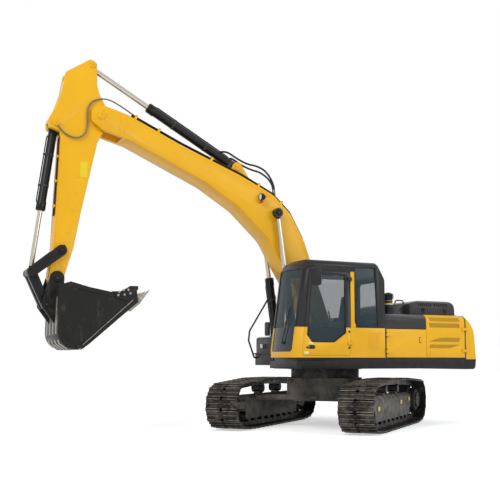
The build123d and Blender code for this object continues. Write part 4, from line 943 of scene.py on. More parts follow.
# Columns: name, points of the line, diameter, body of its start, body of its end, bend start, bend end, finish
HOSES = [
    ("arm_cylinder_hose_upper",
     [(2.165, 0.040, 5.022), (2.080, 0.045, 5.035), (1.985, 0.052, 5.005), (1.869, 0.060, 4.934),
      (1.654, 0.065, 4.838), (1.451, 0.070, 4.821), (1.297, 0.080, 4.755), (1.194, 0.110, 4.622),
      (1.128, 0.130, 4.461), (1.120, 0.130, 4.360), (1.118, 0.130, 4.270)],
     0.036, "arm_barrel", "boom", (2.02, 0.05, 5.01), (1.50, 0.07, 4.82), "rubber"),
    ("arm_cylinder_hose_lower",
     [(1.990, -0.045, 4.905), (1.950, -0.042, 4.955), (1.850, -0.035, 4.910), (1.700, -0.015, 4.815),
      (1.528, 0.025, 4.744), (1.399, 0.080, 4.709), (1.272, 0.150, 4.602), (1.194, 0.182, 4.480),
      (1.172, 0.185, 4.385), (1.166, 0.185, 4.290)],
     0.036, "arm_barrel", "boom", (1.90, -0.04, 4.93), (1.40, 0.08, 4.71), "rubber"),
    ("arm_hose_outer",
     [(3.800, 0.150, 5.447), (3.930, 0.150, 5.520), (4.073, 0.155, 5.603), (4.321, 0.170, 5.703),
      (4.560, 0.192, 5.640), (4.665, 0.198, 5.475), (4.660, 0.200, 5.290), (4.655, 0.200, 5.140),
      (4.708, 0.200, 5.001), (4.843, 0.200, 4.935), (5.013, 0.200, 4.985), (5.110, 0.198, 5.070),
      (5.149, 0.192, 5.130)],
     0.026, "boom", "arm", (4.15, 0.15, 5.63), (4.60, 0.19, 5.58), "hose_grey"),
]


def run_hose(name, points, diameter, first, last, start, end, finish):
    """A free hose along a smooth line through its points."""
    line = curve_object(points, 0)
    path = [tuple(vertex.co) for vertex in final_mesh(line).vertices]
    bpy.data.objects.remove(line)
    mesh = curve_mesh(points, diameter / 2, resolution=4)
    mesh.materials.clear()
    mesh.materials.append(MATERIALS[finish])
    smooth(mesh)
    piece = new_object(name, mesh)
    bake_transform(piece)


def run_hoses():
    """Hoses that cross the joints of the boom and the arm."""
    for row in HOSES:
        run_hose(*row)


def collar(shape, spot, direction, radius):
    """A hose end with its hexagon nut and swaged sleeve."""
    shape.turned([(radius * 0.9, -0.03), (radius * 1.25, -0.026), (radius * 1.25, 0.012), (radius * 1.05, 0.016)],
                 spot, direction, "steel", 20)
    shape.turned([(radius * 1.05, 0.014), (radius * 1.5, 0.016), (radius * 1.5, 0.036), (radius * 0.8, 0.040),
                  (radius * 0.8, 0.055)], spot, direction, "steel", 6)


def band(shape, spot, direction, radius, thick, half, finish, segments):
    """A band round a tube, with its rims slightly narrowed."""
    shape.turned([(radius, -half), (radius + thick, 0.001 - half), (radius + thick, half - 0.001), (radius, half)],
                 spot, direction, finish, segments)


# Columns: points, radius, shift along and up
BOOM_WELDS = [
    ([(4.02, 5.43), (3.97, 5.30), (4.05, 5.18), (4.02, 5.06)], 0.004, 0, 0),
    ([(4.12, 5.46), (4.07, 5.30), (4.16, 5.10)], 0.004, 0, 0),
    ([(0.42, 2.05), (1.02, 3.00), (1.31, 3.47), (1.87, 3.99), (2.50, 4.38), (3.90, 5.005)], 0.0035, -0.012, 0.018),
    ([(0.40, 2.9), (0.578, 3.40), (0.865, 3.91), (1.21, 4.24), (1.87, 4.55), (3.02, 4.99), (3.90, 5.38)], 0.0035,
     0.012, -0.02),
]


def dress_boom():
    """Doubler plates, clamp caps, pipes and connectors of the boom."""
    dress("boom", "yellow", 0.006)
    dress("boom_pipes", "barrel", 0.0)
    shape = Shape()
    for part, share in PIPE_CLAMPS:
        first, last = Vector(BOOM_PIPES[part]), Vector(BOOM_PIPES[part + 1])
        way = (last - first).normalized()
        spot = first + (last - first) * share
        up = Vector((-way.y, way.x))
        base = spot + up * 0.0245
        for y in CLAMP_BOLT_Y:
            shape.bolt((base.x, y, base.y), (up.x, 0, up.y), "casting", 0.018, 0.010)
        for y in PIPE_Y:
            band(shape, (spot.x, y, spot.y), (way.x, 0, way.y), 0.0138, 0.003, 0.029, "rubber", 16)
    for y, x, z in zip(PIPE_Y, (1.119, 1.168), (4.325, 4.345)):
        collar(shape, (x, y, z), (-0.03, 0, -1), 0.0185)
    for side in (1, -1):
        shape.plate(disc(FOOT, 0.150), side, BOOM_INSET, 0.264, "yellow")
        shape.plate(disc(BOOM_CYL_PIN, 0.135), side, BOOM_INSET, 0.268, "yellow")
    shape.fit("boom_fittings", "boom", 0.0015, 1)
    shape = Shape()
    for side in (1, -1):
        for points, radius, dx, dz in BOOM_WELDS:
            shape.tube([(x + dx, side * BOOM_SIDE, z + dz) for x, z in points], radius, "yellow")
    shape.fit("boom_weld_lines", "boom")


ARM_WELDS = [[(5.080, 4.85), (5.126, 3.887), (5.162, 3.10)], [(4.500, 4.897), (4.752, 3.725), (4.875, 3.073)]]
ARM_BOSSES = [(4.79, 4.30), (4.83, 4.02), (4.88, 3.72), (4.95, 3.34)]
ARM_CLAMPS_Z = (4.62, 4.20, 3.78)
ARM_PIPE_Y = (0.048, 0.108)


def dress_arm():
    """Weld lines, bosses, hose clamps, pipes and a label of the arm."""
    dress("arm", "yellow", 0.006)
    shape = Shape()
    for side in (1, -1):
        for edge in ARM_WELDS:
            shape.tube([(x, side * ARM_SIDE, z) for x, z in edge], 0.0035, "yellow")
        for x, z in ARM_BOSSES:
            shape.turned([(0.022, -0.001), (0.022, 0.004), (0.012, 0.007), (0, 0.007)], (x, side * ARM_SIDE, z),
                         (0, side, 0), "yellow", 18)
    shape.block((4.640, 4.760), (0.1695, 0.1712), (4.300, 4.560), "orange")
    for z in ARM_CLAMPS_Z:
        x = 5.112 + (4.889 - z) * 0.047
        shape.block((x - 0.004, x + 0.022), (0.02, 0.135), (z - 0.022, z + 0.022), "yellow")
        shape.bolt((x + 0.021, 0.078, z), (1, 0, 0), "casting", 0.020, 0.010)
    for y in ARM_PIPE_Y:
        shape.tube([(5.075, y, 5.02), (5.120, y, 4.96), (5.124, y, 4.62), (5.144, y, 4.20), (5.164, y, 3.78),
                    (5.174, y, 3.62)], 0.011, "barrel")
    shape.fit("arm_fittings", "arm", 0.0015, 1)


# Columns: node of the barrel, pins, y, barrel radius, rod radius, barrel length, side of its oil pipe
CYLINDERS = [
    ("boom_barrel_left", BOOM_CYL_BASE, BOOM_CYL_PIN, 0.352, 0.075, 0.043, 1.44, -1),
    ("boom_barrel_right", BOOM_CYL_BASE, BOOM_CYL_PIN, -0.352, 0.075, 0.043, 1.44, -1),
    ("arm_barrel", ARM_CYL_BASE, ARM_REAR, 0.0, 0.082, 0.048, 1.93, 1),
    ("bucket_barrel", BUCKET_CYL_BASE, ROCKER_END, 0.0, 0.072, 0.040, 1.48, 1),
]


def dress_cylinders():
    """Glands, oil pipes and bands of the four cylinders."""
    for node, base, end, y, radius, rod, length, pipe_side in CYLINDERS:
        dress(node, "barrel", 0.003)
        way = (Vector(end) - Vector(base)).normalized()
        lift = Vector((-way.y, way.x)) * pipe_side
        direction = (way.x, 0, way.y)

        def spot(distance, off=0.0):
            place = Vector(base) + way * distance + lift * off
            return (place.x, y, place.y)

        shape = Shape()
        centre = spot(length - 0.095)
        shape.turned([(radius, -0.03), (radius + 0.006, -0.025), (radius + 0.006, 0.030), (radius + 0.001, 0.034)],
                     centre, direction, "barrel", 36)
        shape.turned([(radius - 0.004, 0.090), (radius - 0.010, 0.102), (rod + 0.012, 0.104), (rod + 0.006, 0.110),
                      (rod + 0.001, 0.110)], centre, direction, "barrel", 36)
        for place, _ in circle_of(spot(length + 0.005), direction, (radius + rod) / 2 + 0.004, 8):
            shape.bolt(place, direction, "casting", 0.015, 0.008)
        off, sunk = radius + 0.017, radius - 0.01
        shape.tube([spot(0.20, sunk), spot(0.215, off), spot(0.30, off), spot(length * 0.5, off),
                    spot(length - 0.20, off), spot(length - 0.125, off), spot(length - 0.105, sunk)],
                   0.0105, "barrel")
        for share in (0.36, 0.72):
            band(shape, spot(length * share), direction, radius + 0.001, 0.003, 0.016, "casting", 36)
            band(shape, spot(length * share, off), direction, 0.0115, 0.005, 0.012, "casting", 14)
        shape.fit(node + "_fittings", node)


# Columns: outline, inner face, outer face, finish
BUCKET_CHEEK = [
    ([(4.965, 2.478), (4.655, 2.397), (4.260, 2.330), (4.262, 2.262), (4.655, 2.335), (4.950, 2.410)],
     0.559, 0.570, "bucket"),
    ([(3.870, 2.200), (4.740, 1.420), (4.860, 1.412), (4.850, 1.470), (4.765, 1.480), (3.930, 2.240)],
     0.559, 0.570, "bucket"),
    ([(3.925, 2.215), (4.76, 1.462), (4.768, 1.470), (3.935, 2.225)], 0.565, 0.5715, "steel"),
    ([(5.155, 1.9), (5.150, 1.62), (5.090, 1.50), (4.95, 1.43), (4.93, 1.48), (5.04, 1.55), (5.095, 1.66),
      (5.10, 1.9)], 0.559, 0.570, "bucket"),
]
LIP_Y = (-0.36375, -0.12125, 0.12125, 0.36375)
STRIP_Y = (-0.39, -0.13, 0.13, 0.39)
BUCKET_LIP = [(3.930, 2.095), (3.955, 2.125), (3.850, 2.270), (3.838, 2.205)]
BUCKET_STRIP = [(5.148, 2.25), (5.152, 1.66), (5.100, 1.50), (4.96, 1.402), (4.76, 1.402), (4.70, 1.430),
                (4.70, 1.422), (4.755, 1.393), (4.97, 1.392), (5.110, 1.492), (5.162, 1.655), (5.157, 2.25)]


def dress_bucket():
    """Edge strips, shrouds and wear strips of the bucket, and its links."""
    dress("bucket", "bucket", 0.005)
    dress("bucket_teeth", "steel", 0.008)
    shape = Shape()
    for y in LIP_Y:
        shape.prism(BUCKET_LIP, "y", y - 0.062, y + 0.062, "steel")
    for side in (1, -1):
        for points, near, far, finish in BUCKET_CHEEK:
            shape.plate(points, side, near, far, finish)
    for y in STRIP_Y:
        shape.prism(BUCKET_STRIP, "y", y - 0.05, y + 0.05, "steel")
    shape.fit("bucket_wear_plates", "bucket", 0.003, 1)
    for node in ("rocker", "bucket_link"):
        dress(node, "black", 0.006)


LAMP_CENTRE = (1.475, 0.338, 4.190)


def fit_lamps():
    """The boom's work lamp and the one on the right front box."""
    shape = Shape()
    x, y, z = LAMP_CENTRE
    shape.turned([(0.0, -0.062), (0.040, -0.060), (0.050, -0.040), (0.050, -0.034), (0.058, -0.034), (0.058, -0.026),
                  (0.052, -0.026), (0.052, -0.018), (0.062, -0.018), (0.062, -0.010), (0.058, -0.010), (0.066, 0.010),
                  (0.069, 0.022), (0.069, 0.030), (0.062, 0.031), (0.061, 0.024)], LAMP_CENTRE, (1, 0, 0),
                 "plastic", 36)
    # The lens in pale grey is a painted reflection of the lamp's reflector.
    shape.turned([(0.061, 0.022), (0.045, 0.029), (0.020, 0.033), (0.0, 0.034)], LAMP_CENTRE, (1, 0, 0), "lens", 36)
    shape.block((x - 0.030, x + 0.010), (y - 0.022, y + 0.022), (z - 0.088, z - 0.078), "rust")
    ear = [(x - 0.024, z - 0.086), (x + 0.006, z - 0.086), (x + 0.004, z - 0.050), (x - 0.020, z - 0.050)]
    for side in (1, -1):
        shape.prism(ear, "y", *sorted((y + side * 0.0225, y + side * 0.0275)), "rust")
    shape.block((x - 0.026, x + 0.004), (BOOM_INSET, y), (z - 0.098, z - 0.086), "rust")
    shape.tube([(x - 0.055, y, z), (x - 0.085, y, z - 0.005), (x - 0.105, y - 0.02, z + 0.02),
                (x - 0.120, y - 0.06, z + 0.035), (x - 0.140, 0.262, z + 0.03)], 0.004, "rubber")
    shape.done("boom_lamp_finished", "boom", replaces=("boom_lamp",))
    shape = Shape()
    shape.prism(rectangle(-1.10, -0.98, 1.455, 1.555, 0.015), "x", 0.8295, 0.842, "plastic")
    # The box lamp's lens in pale grey is a painted reflection.
    shape.prism(rectangle(-1.09, -0.99, 1.465, 1.545, 0.012), "x", 0.841, 0.848, "lens")
    shape.done("box_lamp", body_of_node("toolbox"), 0.002, 2)


# House

HOUSE_FINISH = {
    "counterweight": "weight", "side_door_front": "yellow", "side_door_rear": "yellow", "pump_door": "yellow",
    "fuel_tank": "yellow", "hydraulic_tank": "yellow", "house_frame": "house_top", "engine_hood": "house_top",
    "deck": "black", "toolbox": "black", "toolbox_lid": "lid_grey", "engine_block": "casting",
}
# Columns: name, door, side, latch's front and rear edge, height, finish of the base
LATCHES = [
    ("latch_front", "side_door_front", 1, -1.235, -1.190, 1.590, "rust"),
    ("latch_rear", "side_door_rear", 1, -1.470, -1.425, 1.365, "yellow"),
    ("latch_pump", "pump_door", -1, -1.470, -1.416, 1.590, "yellow"),
]
HOOD_KNOBS_X = (-1.406, -1.896)
HOOD_KNOB_Y, HOOD_KNOB_Z = 1.204, 2.170
CLEANER = (-0.715, 1.100)
# Columns: foot and head of a band, finish
CLEANER_BANDS = [(2.120, 2.150, "rubber"), (2.230, 2.236, "white"), (2.238, 2.262, "orange"),
                 (2.300, 2.306, "white")]


def dress_house():
    """Panels, latches and bands of the upper structure."""
    for node, finish in HOUSE_FINISH.items():
        dress(node, finish)
    for name, node, side, x0, x1, z, finish in LATCHES:
        shape = Shape()
        shape.plate(rectangle(x0, x1, z - 0.055, z + 0.055, 0.012), side, SIDE - 0.001, SIDE + 0.0035, finish)
        shape.plate(rectangle(x0 + 0.010, x1 - 0.010, z - 0.035, z + 0.040, 0.008), side, SIDE + 0.002, SIDE + 0.009,
                    "yellow")
        shape.fit(name, node, 0.001, 1)
    shape = Shape()
    for x in HOOD_KNOBS_X:
        shape.turned([(0.020, 0.0), (0.020, 0.014), (0.011, 0.020), (0.011, 0.034), (0.024, 0.040), (0.024, 0.052),
                      (0.015, 0.060), (0, 0.061)], (x, HOOD_KNOB_Y, HOOD_KNOB_Z), (0, 1, 0), "casting", 24)
        for dx in (-0.016, 0.016):
            shape.block((x + dx - 0.004, x + dx + 0.004), (HOOD_KNOB_Y, HOOD_KNOB_Y + 0.010), (2.085, 2.160),
                        "casting")
    shape.fit("hood_latches", "engine_hood", 0.001, 1)
    shape = Shape()
    for low, high, finish in CLEANER_BANDS:
        band(shape, (*CLEANER, (low + high) / 2), (0, 0, 1), 0.0795, 0.002, (high - low) / 2, finish, 40)
    for x, y in disc(CLEANER, 0.094, 16):
        shape.block((x - 0.004, x + 0.004), (y - 0.004, y + 0.004), (2.345, 2.395), "plastic")
    shape.fit("air_cleaner_bands", "air_cleaner")


# Columns: foot and head of the slots, lean of their heads, slots that grow in, slots that die out
LOUVRES = [
    (1.935, 2.008, 0.014, 0, 0), (1.820, 1.903, 0.014, 0, 0), (1.562, 1.640, -0.016, 5, 0),
    (1.445, 1.512, -0.016, 0, 5),
]
LOUVRE_COUNT = 17
LOUVRE_FIRST = -1.443
LOUVRE_PITCH = 0.040
LOUVRE_HALF = 0.0089
SHOULDER_Z = 1.930
SHOULDER_RADIUS = 0.130


def shoulder_y(z):
    """How far out the rear door's face stands at a height."""
    return SIDE - SHOULDER_RADIUS + sqrt(SHOULDER_RADIUS ** 2 - max(0, z - SHOULDER_Z) ** 2)


def back_louvres():
    """Near-black sheet behind every slot of the two louvred doors: painted shade that gives the slots their dark
    depth.
    """
    for node, side in (("side_door_rear", 1), ("pump_door", -1)):
        shape = Shape()
        for foot, head, lean, grow, die in LOUVRES:
            for i in range(LOUVRE_COUNT):
                z0 = head - (head - foot) * min(1, (LOUVRE_COUNT - i) / (die + 1))
                z1 = foot + (head - foot) * min(1, (i + 1) / (grow + 1))
                rings = []
                for share in (0, 0.25, 0.5, 0.75, 1):
                    z = z0 + (z1 - z0) * share
                    x = LOUVRE_FIRST - i * LOUVRE_PITCH + lean * (2 * share - 1)
                    rings.append([(x + dx, side * (shoulder_y(z) - dy), z) for dx, dy in (
                        (-LOUVRE_HALF, 0.002), (LOUVRE_HALF, 0.002), (LOUVRE_HALF, 0.008), (-LOUVRE_HALF, 0.008))])
                # A near-black strip behind the slot, painted shade.
                shape.skin(rings, "gauze")
        shape.done(node + "_gauze", body_of_node(node))


# Cab

CAB_Y = 0.908
NOSE_X = 1.336
NOSE_FOOT = 1.40
NOSE_LEAN = 0.190 / 1.39
NOSE_BULGE = 0.066
VENT_FINS = 7
VENT_FOOT, VENT_PITCH = 1.480, 0.036
DOOR_WINDOW = [(0.345, 2.710), (0.345, 1.700), (0.575, 1.540), (1.000, 1.540), (1.095, 1.660), (1.000, 2.710)]
REAR_WINDOW = [(0.150, 2.860), (0.150, 1.880), (0.070, 1.800), (-0.320, 1.810), (-0.275, 2.860)]


def seal(shape, outline):
    """Rubber round a side window, whose doubled points keep its corners tight."""
    shape.tube([(x, SIDE + 0.0005, z) for x, z in outline for _ in (0, 1)], 0.009, "rubber", closed=True, resolution=2)


def nose(z, y, off):
    """A spot off the windscreen."""
    bulge = NOSE_BULGE * (1 - ((y - CAB_Y) / 0.458) ** 2)
    return (NOSE_X - (z - NOSE_FOOT) * NOSE_LEAN + bulge + off, y, z)


def dress_cab():
    """Seals, vent, wiper, handle and labels of the cab."""
    dress("cab_frame", "cab_frame")
    dress("cab_base", "yellow")
    dress("cab_door", "cab_door")
    shape = Shape()
    seal(shape, DOOR_WINDOW)
    shape.plate(rectangle(0.950, 1.082, 1.418, 1.482, 0.030), 1, SIDE - 0.001, SIDE + 0.004, "plastic")
    shape.plate(rectangle(0.962, 1.050, 1.436, 1.466, 0.012), 1, SIDE + 0.003, SIDE + 0.016, "plastic")
    shape.turned([(0.011, 0), (0.011, 0.006), (0.006, 0.008), (0, 0.008)], (1.066, SIDE + 0.003, 1.451), (0, 1, 0),
                 "steel", 16)
    for x, z in (((0.985, 1.060), (1.505, 1.530)), ((1.075, 1.150), (1.335, 1.375))):
        shape.block(x, (SIDE - 0.0008, SIDE + 0.0012), z, "white")
    shape.fit("cab_door_trim", "cab_door", 0.0012, 1)
    shape = Shape()
    seal(shape, REAR_WINDOW)
    shape.block((-0.340, -0.144), (SIDE + 0.004, SIDE + 0.0075), (1.452, 1.723), "yellow")
    for k in range(VENT_FINS):
        z = VENT_FOOT + VENT_PITCH * k
        shape.block((-0.330, -0.154), (SIDE + 0.007, SIDE + 0.013), (z, z + 0.008), "yellow")
    shape.fit("cab_side_trim", "cab_frame", 0.001, 1)
    shape = Shape()
    shape.tube([nose(z, y, 0.020) for z, y in ((1.55, 1.00), (1.75, 1.05), (2.00, 1.10), (2.12, 1.12))], 0.008,
               "plastic")
    shape.tube([nose(z, y, 0.012) for z, y in ((1.85, 1.02), (2.10, 1.115), (2.35, 1.21))], 0.006, "rubber")
    shape.turned([(0.030, 0), (0.030, 0.012), (0.018, 0.020), (0, 0.022)], nose(1.53, 1.00, 0.004), (1, 0, 0.12),
                 "plastic", 20)
    shape.fit("cab_wiper", "cab_frame")


# Columns: middle of the glass, turn of the case
MIRRORS = [((1.127, 1.745, 2.610), radians(45)), ((0.500, -1.490, 1.865), 0.0)]


def glaze_mirrors():
    """Silvered faces in the mirrors' cases, whose pale blue-grey colour is a painted reflection."""
    dress("mirrors", "plastic", 0.003)
    shape = Shape()
    for centre, yaw in MIRRORS:
        before = len(shape.mesh.verts)
        shape.prism(rectangle(-0.076, 0.076, -0.126, 0.126, 0.035), "x", -0.0225, -0.0195, "mirror")
        shape.mesh.verts.ensure_lookup_table()
        turn = Matrix.Translation(centre) @ Matrix.Rotation(yaw, 4, "Z")
        bmesh.ops.transform(shape.mesh, matrix=turn, verts=shape.mesh.verts[before:])
    shape.fit("mirror_faces", "mirrors")


# Seat

SEAT_LEAN = radians(-100)
BELLOWS_FOLDS = 7
BELLOWS_FOOT, FOLD_HEIGHT = 1.320, 0.054


def cushion(name, size, crown, channels, place):
    """A crowned pad whose sides pull in between its corners, with sewn channels."""
    work = bmesh.new()
    bmesh.ops.create_cube(work, size=2)
    bmesh.ops.subdivide_edges(work, edges=work.edges, cuts=13, use_grid_fill=True)
    for vertex in work.verts:
        a, b, c = vertex.co
        pull = 1 - 0.05 * (1 - b * b) * (a * a)
        draw = 1 - 0.05 * (1 - a * a) * (b * b)
        corner = 1 - 0.06 * (abs(a) * abs(b) * abs(c)) ** 2
        top = crown * (1 - a ** 4) * (1 - b ** 4) * (1 if c > 0 else 0.15)
        groove = sum(exp(-((abs(b) - line) / 0.05) ** 2) for line in channels) * 0.012
        edge = 1 - 0.22 * max(abs(a), abs(b)) ** 8
        vertex.co = (a * size[0] * pull * corner, b * size[1] * draw * corner,
                     c * (size[2] * edge + top) - (groove if c > 0 else 0))
    work.transform(place)
    mesh = bpy.data.meshes.new(name)
    work.to_mesh(mesh)
    work.free()
    smooth(mesh)
    mesh.materials.append(MATERIALS["cloth"])
    piece = new_object(name, mesh)
    piece.modifiers.new("smooth", "SUBSURF").levels = 1
    bake(piece)
    smooth(piece.data)
    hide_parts("cab_seat")
    join_body(piece, body_of_node("cab_seat"))


def pad_seat():
    """Cushion, back and headrest on a bellows stand."""
    lean = Matrix.Rotation(SEAT_LEAN, 4, "Y")
    cushion("seat_cushion", (0.215, 0.222, 0.045), 0.012, (0.5,), Matrix.Translation((0.280, CAB_Y, 1.762)))
    cushion("seat_back", (0.285, 0.212, 0.036), 0.010, (0.5,), Matrix.Translation((0.058, CAB_Y, 2.105)) @ lean)
    cushion("seat_headrest", (0.072, 0.108, 0.032), 0.006, (), Matrix.Translation((-0.003, CAB_Y, 2.480)) @ lean)
    shape = Shape()
    for k in range(BELLOWS_FOLDS):
        low = BELLOWS_FOOT + k * FOLD_HEIGHT
        for level, grow in ((low, -0.012), (low + FOLD_HEIGHT / 2, 0.006)):
            ring = rectangle(0.125 - grow, 0.435 + grow, CAB_Y - 0.175 - grow, CAB_Y + 0.175 + grow, 0.03, 3)
            shape.prism(ring, "z", level, level + 0.0275, "plastic")
    shape.fit("seat_bellows", "cab_seat", 0.004, 1)


# Undercarriage

FRAME_MARKS = [(1.06, 0.390), (-0.62, 0.440), (-1.30, 0.470)]


def dress_undercarriage():
    """Edges of the frames, wheels and rollers, and the plates of the track frames."""
    for side in ("left", "right"):
        for node in ("track_frame_", "idler_", "sprocket_", "rollers_"):
            dress(node + side, "dusty" if node == "track_frame_" else "casting")
    dress("car_body", "dusty")
    dress("slew_ring", "casting", 0.002)
    shape = Shape()
    for side in (1, -1):
        depth = sorted((side * (GAUGE_HALF + 0.124), side * (GAUGE_HALF + 0.128)))
        for x, z in FRAME_MARKS:
            for x0, x1, finish in ((x - 0.06, x + 0.06, "orange"), (x + 0.06, x + 0.15, "plastic")):
                shape.block((x0, x1), depth, (z - 0.035, z + 0.035), finish)
    bmesh.ops.rotate(shape.mesh, verts=shape.mesh.verts, cent=(0, 0, 0), matrix=Matrix.Rotation(UNDER_YAW, 3, "Z"))
    shape.fit("track_frame_marks", "track_frame_left")


# Stage

def place_camera(stage):
    """Camera at the photograph's viewpoint."""
    data = bpy.data.cameras.new("camera")
    data.lens = stage.lens
    data.sensor_width = 36
    data.shift_y = stage.shift_up
    data.clip_end = 500
    camera = new_object("camera", data)
    yaw, pitch = stage.camera_yaw, stage.camera_pitch
    look = Vector((cos(pitch) * cos(yaw), cos(pitch) * sin(yaw), sin(pitch)))
    camera.location = stage.camera_place
    camera.rotation_euler = look.to_track_quat("-Z", "Y").to_euler()
    bpy.context.scene.camera = camera


def light_world(stage):
    """Soft sky that camera, mirror and glass rays see as plain white."""
    world = bpy.data.worlds.new("studio")
    bpy.context.scene.world = world
    world.use_nodes = True
    tree = world.node_tree
    sky = tree.nodes["Background"]
    sky.inputs["Color"].default_value = (0.93, 0.96, 1.0, 1)
    sky.inputs["Strength"].default_value = stage.sky_strength
    path = tree.nodes.new("ShaderNodeLightPath")
    total = path.outputs["Is Camera Ray"]
    for name in ("Is Glossy Ray", "Is Transmission Ray"):
        add = tree.nodes.new("ShaderNodeMath")
        add.operation = "ADD"
        add.use_clamp = True
        tree.links.new(total, add.inputs[0])
        tree.links.new(path.outputs[name], add.inputs[1])
        total = add.outputs[0]
    white = tree.nodes.new("ShaderNodeBackground")
    white.inputs["Color"].default_value = (1, 1, 1, 1)
    white.inputs["Strength"].default_value = 1.0
    mix = tree.nodes.new("ShaderNodeMixShader")
    for source, target in ((total, mix.inputs[0]), (sky.outputs[0], mix.inputs[1]), (white.outputs[0], mix.inputs[2]),
                           (mix.outputs[0], tree.nodes["World Output"].inputs["Surface"])):
        tree.links.new(source, target)


def lamp(name, place, target, size, power, colour):
    """A large soft lamp that points at a spot."""
    data = bpy.data.lights.new(name, "AREA")
    data.shape = "DISK"
    data.size = size
    data.energy = power
    data.color = colour
    light = new_object(name, data)
    light.location = place
    light.rotation_euler = (Vector(target) - Vector(place)).to_track_quat("-Z", "Y").to_euler()


def lay_floor(stage):
    """Pale floor, white to the camera but for the object's shadow."""
    half = stage.floor_half
    mesh = bpy.data.meshes.new("floor")
    mesh.from_pydata([(-half, -half, 0), (half, -half, 0), (half, half, 0), (-half, half, 0)], [], [(0, 1, 2, 3)])
    finish = Finish("pale_floor")
    seen = 0.0
    for ray in ("Is Camera Ray", "Is Glossy Ray", "Is Transmission Ray"):
        seen = finish.maths("MAXIMUM", seen, finish.node("ShaderNodeLightPath", {}, ray))
    pale = finish.mix(finish.noise(0.8, 3), (0.93, 0.93, 0.93), (0.96, 0.96, 0.96))
    mesh.materials.append(finish.surface(pale, 0.9, Emission_Color=(1, 1, 1),
                                         Emission_Strength=finish.maths("MULTIPLY", seen, stage.floor_glow)))
    new_object("floor", mesh)


def make_stage():
    """Floor, light, camera and view settings."""
    stage = bpy.context.scene.excavator_stage
    lay_floor(stage)
    light_world(stage)
    lamp("key_lamp", (16, 10, 16), (1.5, 0, 2.2), 9, 900 * stage.key_strength, (1.0, 0.97, 0.92))
    lamp("fill_lamp", (-8, 16, 9), (0, 0, 2), 10, 500 * stage.key_strength, (0.94, 0.97, 1.0))
    place_camera(stage)
    bpy.context.scene.view_settings.view_transform = "Standard"


# Operators, panel and registration

class EXCAVATOR_OT_finishes(bpy.types.Operator):
    """Make the finishes and give one to every solid"""
    bl_idname = "excavator.finishes"
    bl_label = "Paint the solids"

    def execute(self, context):
        make_materials()
        paint_nodes()
        return {"FINISHED"}


class EXCAVATOR_OT_hoses(bpy.types.Operator):
    """Hoses that cross the joints"""
    bl_idname = "excavator.hoses"
    bl_label = "Run the hoses"

    def execute(self, context):
        run_hoses()
        return {"FINISHED"}


class EXCAVATOR_OT_tracks(bpy.types.Operator):
    """Shoes, links and bolts of both tracks"""
    bl_idname = "excavator.tracks"
    bl_label = "Lay the tracks"

    def execute(self, context):
        lay_tracks()
        return {"FINISHED"}


class EXCAVATOR_OT_undercarriage(bpy.types.Operator):
    """Frames, wheels and rollers"""
    bl_idname = "excavator.undercarriage"
    bl_label = "Dress the undercarriage"

    def execute(self, context):
        dress_undercarriage()
        return {"FINISHED"}


class EXCAVATOR_OT_house(bpy.types.Operator):
    """Panels, latches and bands of the upper structure"""
    bl_idname = "excavator.house"
    bl_label = "Dress the house"

    def execute(self, context):
        dress_house()
        return {"FINISHED"}


class EXCAVATOR_OT_louvres(bpy.types.Operator):
    """Near-black sheet behind the slots of the doors, as painted shade"""
    bl_idname = "excavator.louvres"
    bl_label = "Back the louvres"

    def execute(self, context):
        back_louvres()
        return {"FINISHED"}


class EXCAVATOR_OT_cab(bpy.types.Operator):
    """Seals, wiper, handle and vent of the cab"""
    bl_idname = "excavator.cab"
    bl_label = "Dress the cab"

    def execute(self, context):
        dress_cab()
        return {"FINISHED"}


class EXCAVATOR_OT_mirrors(bpy.types.Operator):
    """Silvered faces of the mirrors, coloured with a painted reflection"""
    bl_idname = "excavator.mirrors"
    bl_label = "Glaze the mirrors"

    def execute(self, context):
        glaze_mirrors()
        return {"FINISHED"}


class EXCAVATOR_OT_seat(bpy.types.Operator):
    """Cushions and bellows of the driver's seat"""
    bl_idname = "excavator.seat"
    bl_label = "Pad the seat"

    def execute(self, context):
        pad_seat()
        return {"FINISHED"}


class EXCAVATOR_OT_boom(bpy.types.Operator):
    """Plates, clamps and weld lines of the boom"""
    bl_idname = "excavator.boom"
    bl_label = "Dress the boom"

    def execute(self, context):
        dress_boom()
        return {"FINISHED"}


class EXCAVATOR_OT_arm(bpy.types.Operator):
    """Weld lines and pipes of the arm"""
    bl_idname = "excavator.arm"
    bl_label = "Dress the arm"

    def execute(self, context):
        dress_arm()
        return {"FINISHED"}


class EXCAVATOR_OT_cylinders(bpy.types.Operator):
    """Glands and oil pipes of the cylinders"""
    bl_idname = "excavator.cylinders"
    bl_label = "Dress the cylinders"

    def execute(self, context):
        dress_cylinders()
        return {"FINISHED"}


class EXCAVATOR_OT_bucket(bpy.types.Operator):
    """Wear plates and links of the bucket"""
    bl_idname = "excavator.bucket"
    bl_label = "Dress the bucket"

    def execute(self, context):
        dress_bucket()
        return {"FINISHED"}


class EXCAVATOR_OT_lamps(bpy.types.Operator):
    """Work lamp on the boom"""
    bl_idname = "excavator.lamps"
    bl_label = "Fit the lamps"

    def execute(self, context):
        fit_lamps()
        return {"FINISHED"}


class EXCAVATOR_OT_pin_caps(bpy.types.Operator):
    """Round caps on the ends of the pins"""
    bl_idname = "excavator.pin_caps"
    bl_label = "Cap the pins"

    def execute(self, context):
        cap_pins()
        return {"FINISHED"}


class EXCAVATOR_OT_bolts(bpy.types.Operator):
    """Bolt heads in rows and circles"""
    bl_idname = "excavator.bolts"
    bl_label = "Set the bolts"

    def execute(self, context):
        set_bolts()
        return {"FINISHED"}


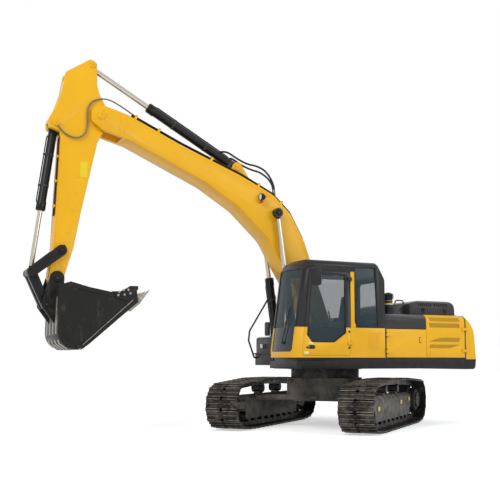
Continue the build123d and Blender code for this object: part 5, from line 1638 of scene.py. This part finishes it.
class EXCAVATOR_OT_stage(bpy.types.Operator):
    """Floor, light and camera"""
    bl_idname = "excavator.stage"
    bl_label = "Make the stage"

    def execute(self, context):
        make_stage()
        return {"FINISHED"}


OPERATORS = (
    EXCAVATOR_OT_stage,
    EXCAVATOR_OT_finishes,
    EXCAVATOR_OT_hoses,
    EXCAVATOR_OT_tracks,
    EXCAVATOR_OT_undercarriage,
    EXCAVATOR_OT_house,
    EXCAVATOR_OT_louvres,
    EXCAVATOR_OT_cab,
    EXCAVATOR_OT_mirrors,
    EXCAVATOR_OT_seat,
    EXCAVATOR_OT_boom,
    EXCAVATOR_OT_arm,
    EXCAVATOR_OT_cylinders,
    EXCAVATOR_OT_bucket,
    EXCAVATOR_OT_lamps,
    EXCAVATOR_OT_pin_caps,
    EXCAVATOR_OT_bolts,
)


class EXCAVATOR_PT_panel(bpy.types.Panel):
    """Steps and settings of the excavator"""
    bl_idname = "EXCAVATOR_PT_panel"
    bl_label = "Excavator"
    bl_space_type = "VIEW_3D"
    bl_region_type = "UI"
    bl_category = "Excavator"

    def draw(self, context):
        for group in (paint(), sizes(), context.scene.excavator_stage):
            box = self.layout.box()
            for name in group.__annotations__:
                box.prop(group, name)
        for step in OPERATORS:
            self.layout.operator(step.bl_idname)


GROUPS = (
    ("excavator_paint", ExcavatorPaint),
    ("excavator_sizes", ExcavatorSizes),
    ("excavator_stage", ExcavatorStage),
)


def register():
    """Register the settings, the steps and the panel."""
    for holder, group in GROUPS:
        bpy.utils.register_class(group)
        setattr(bpy.types.Scene, holder, PointerProperty(type=group))
    for step in OPERATORS:
        bpy.utils.register_class(step)
    bpy.utils.register_class(EXCAVATOR_PT_panel)


def unregister():
    """Take the panel, the steps and the settings out."""
    bpy.utils.unregister_class(EXCAVATOR_PT_panel)
    for step in reversed(OPERATORS):
        bpy.utils.unregister_class(step)
    for holder, group in reversed(GROUPS):
        delattr(bpy.types.Scene, holder)
        bpy.utils.unregister_class(group)


def main():
    """Make everything in order."""
    register()
    for step in OPERATORS:
        group, name = step.bl_idname.split(".")
        getattr(getattr(bpy.ops, group), name)()


if __name__ == "__main__":
    main()
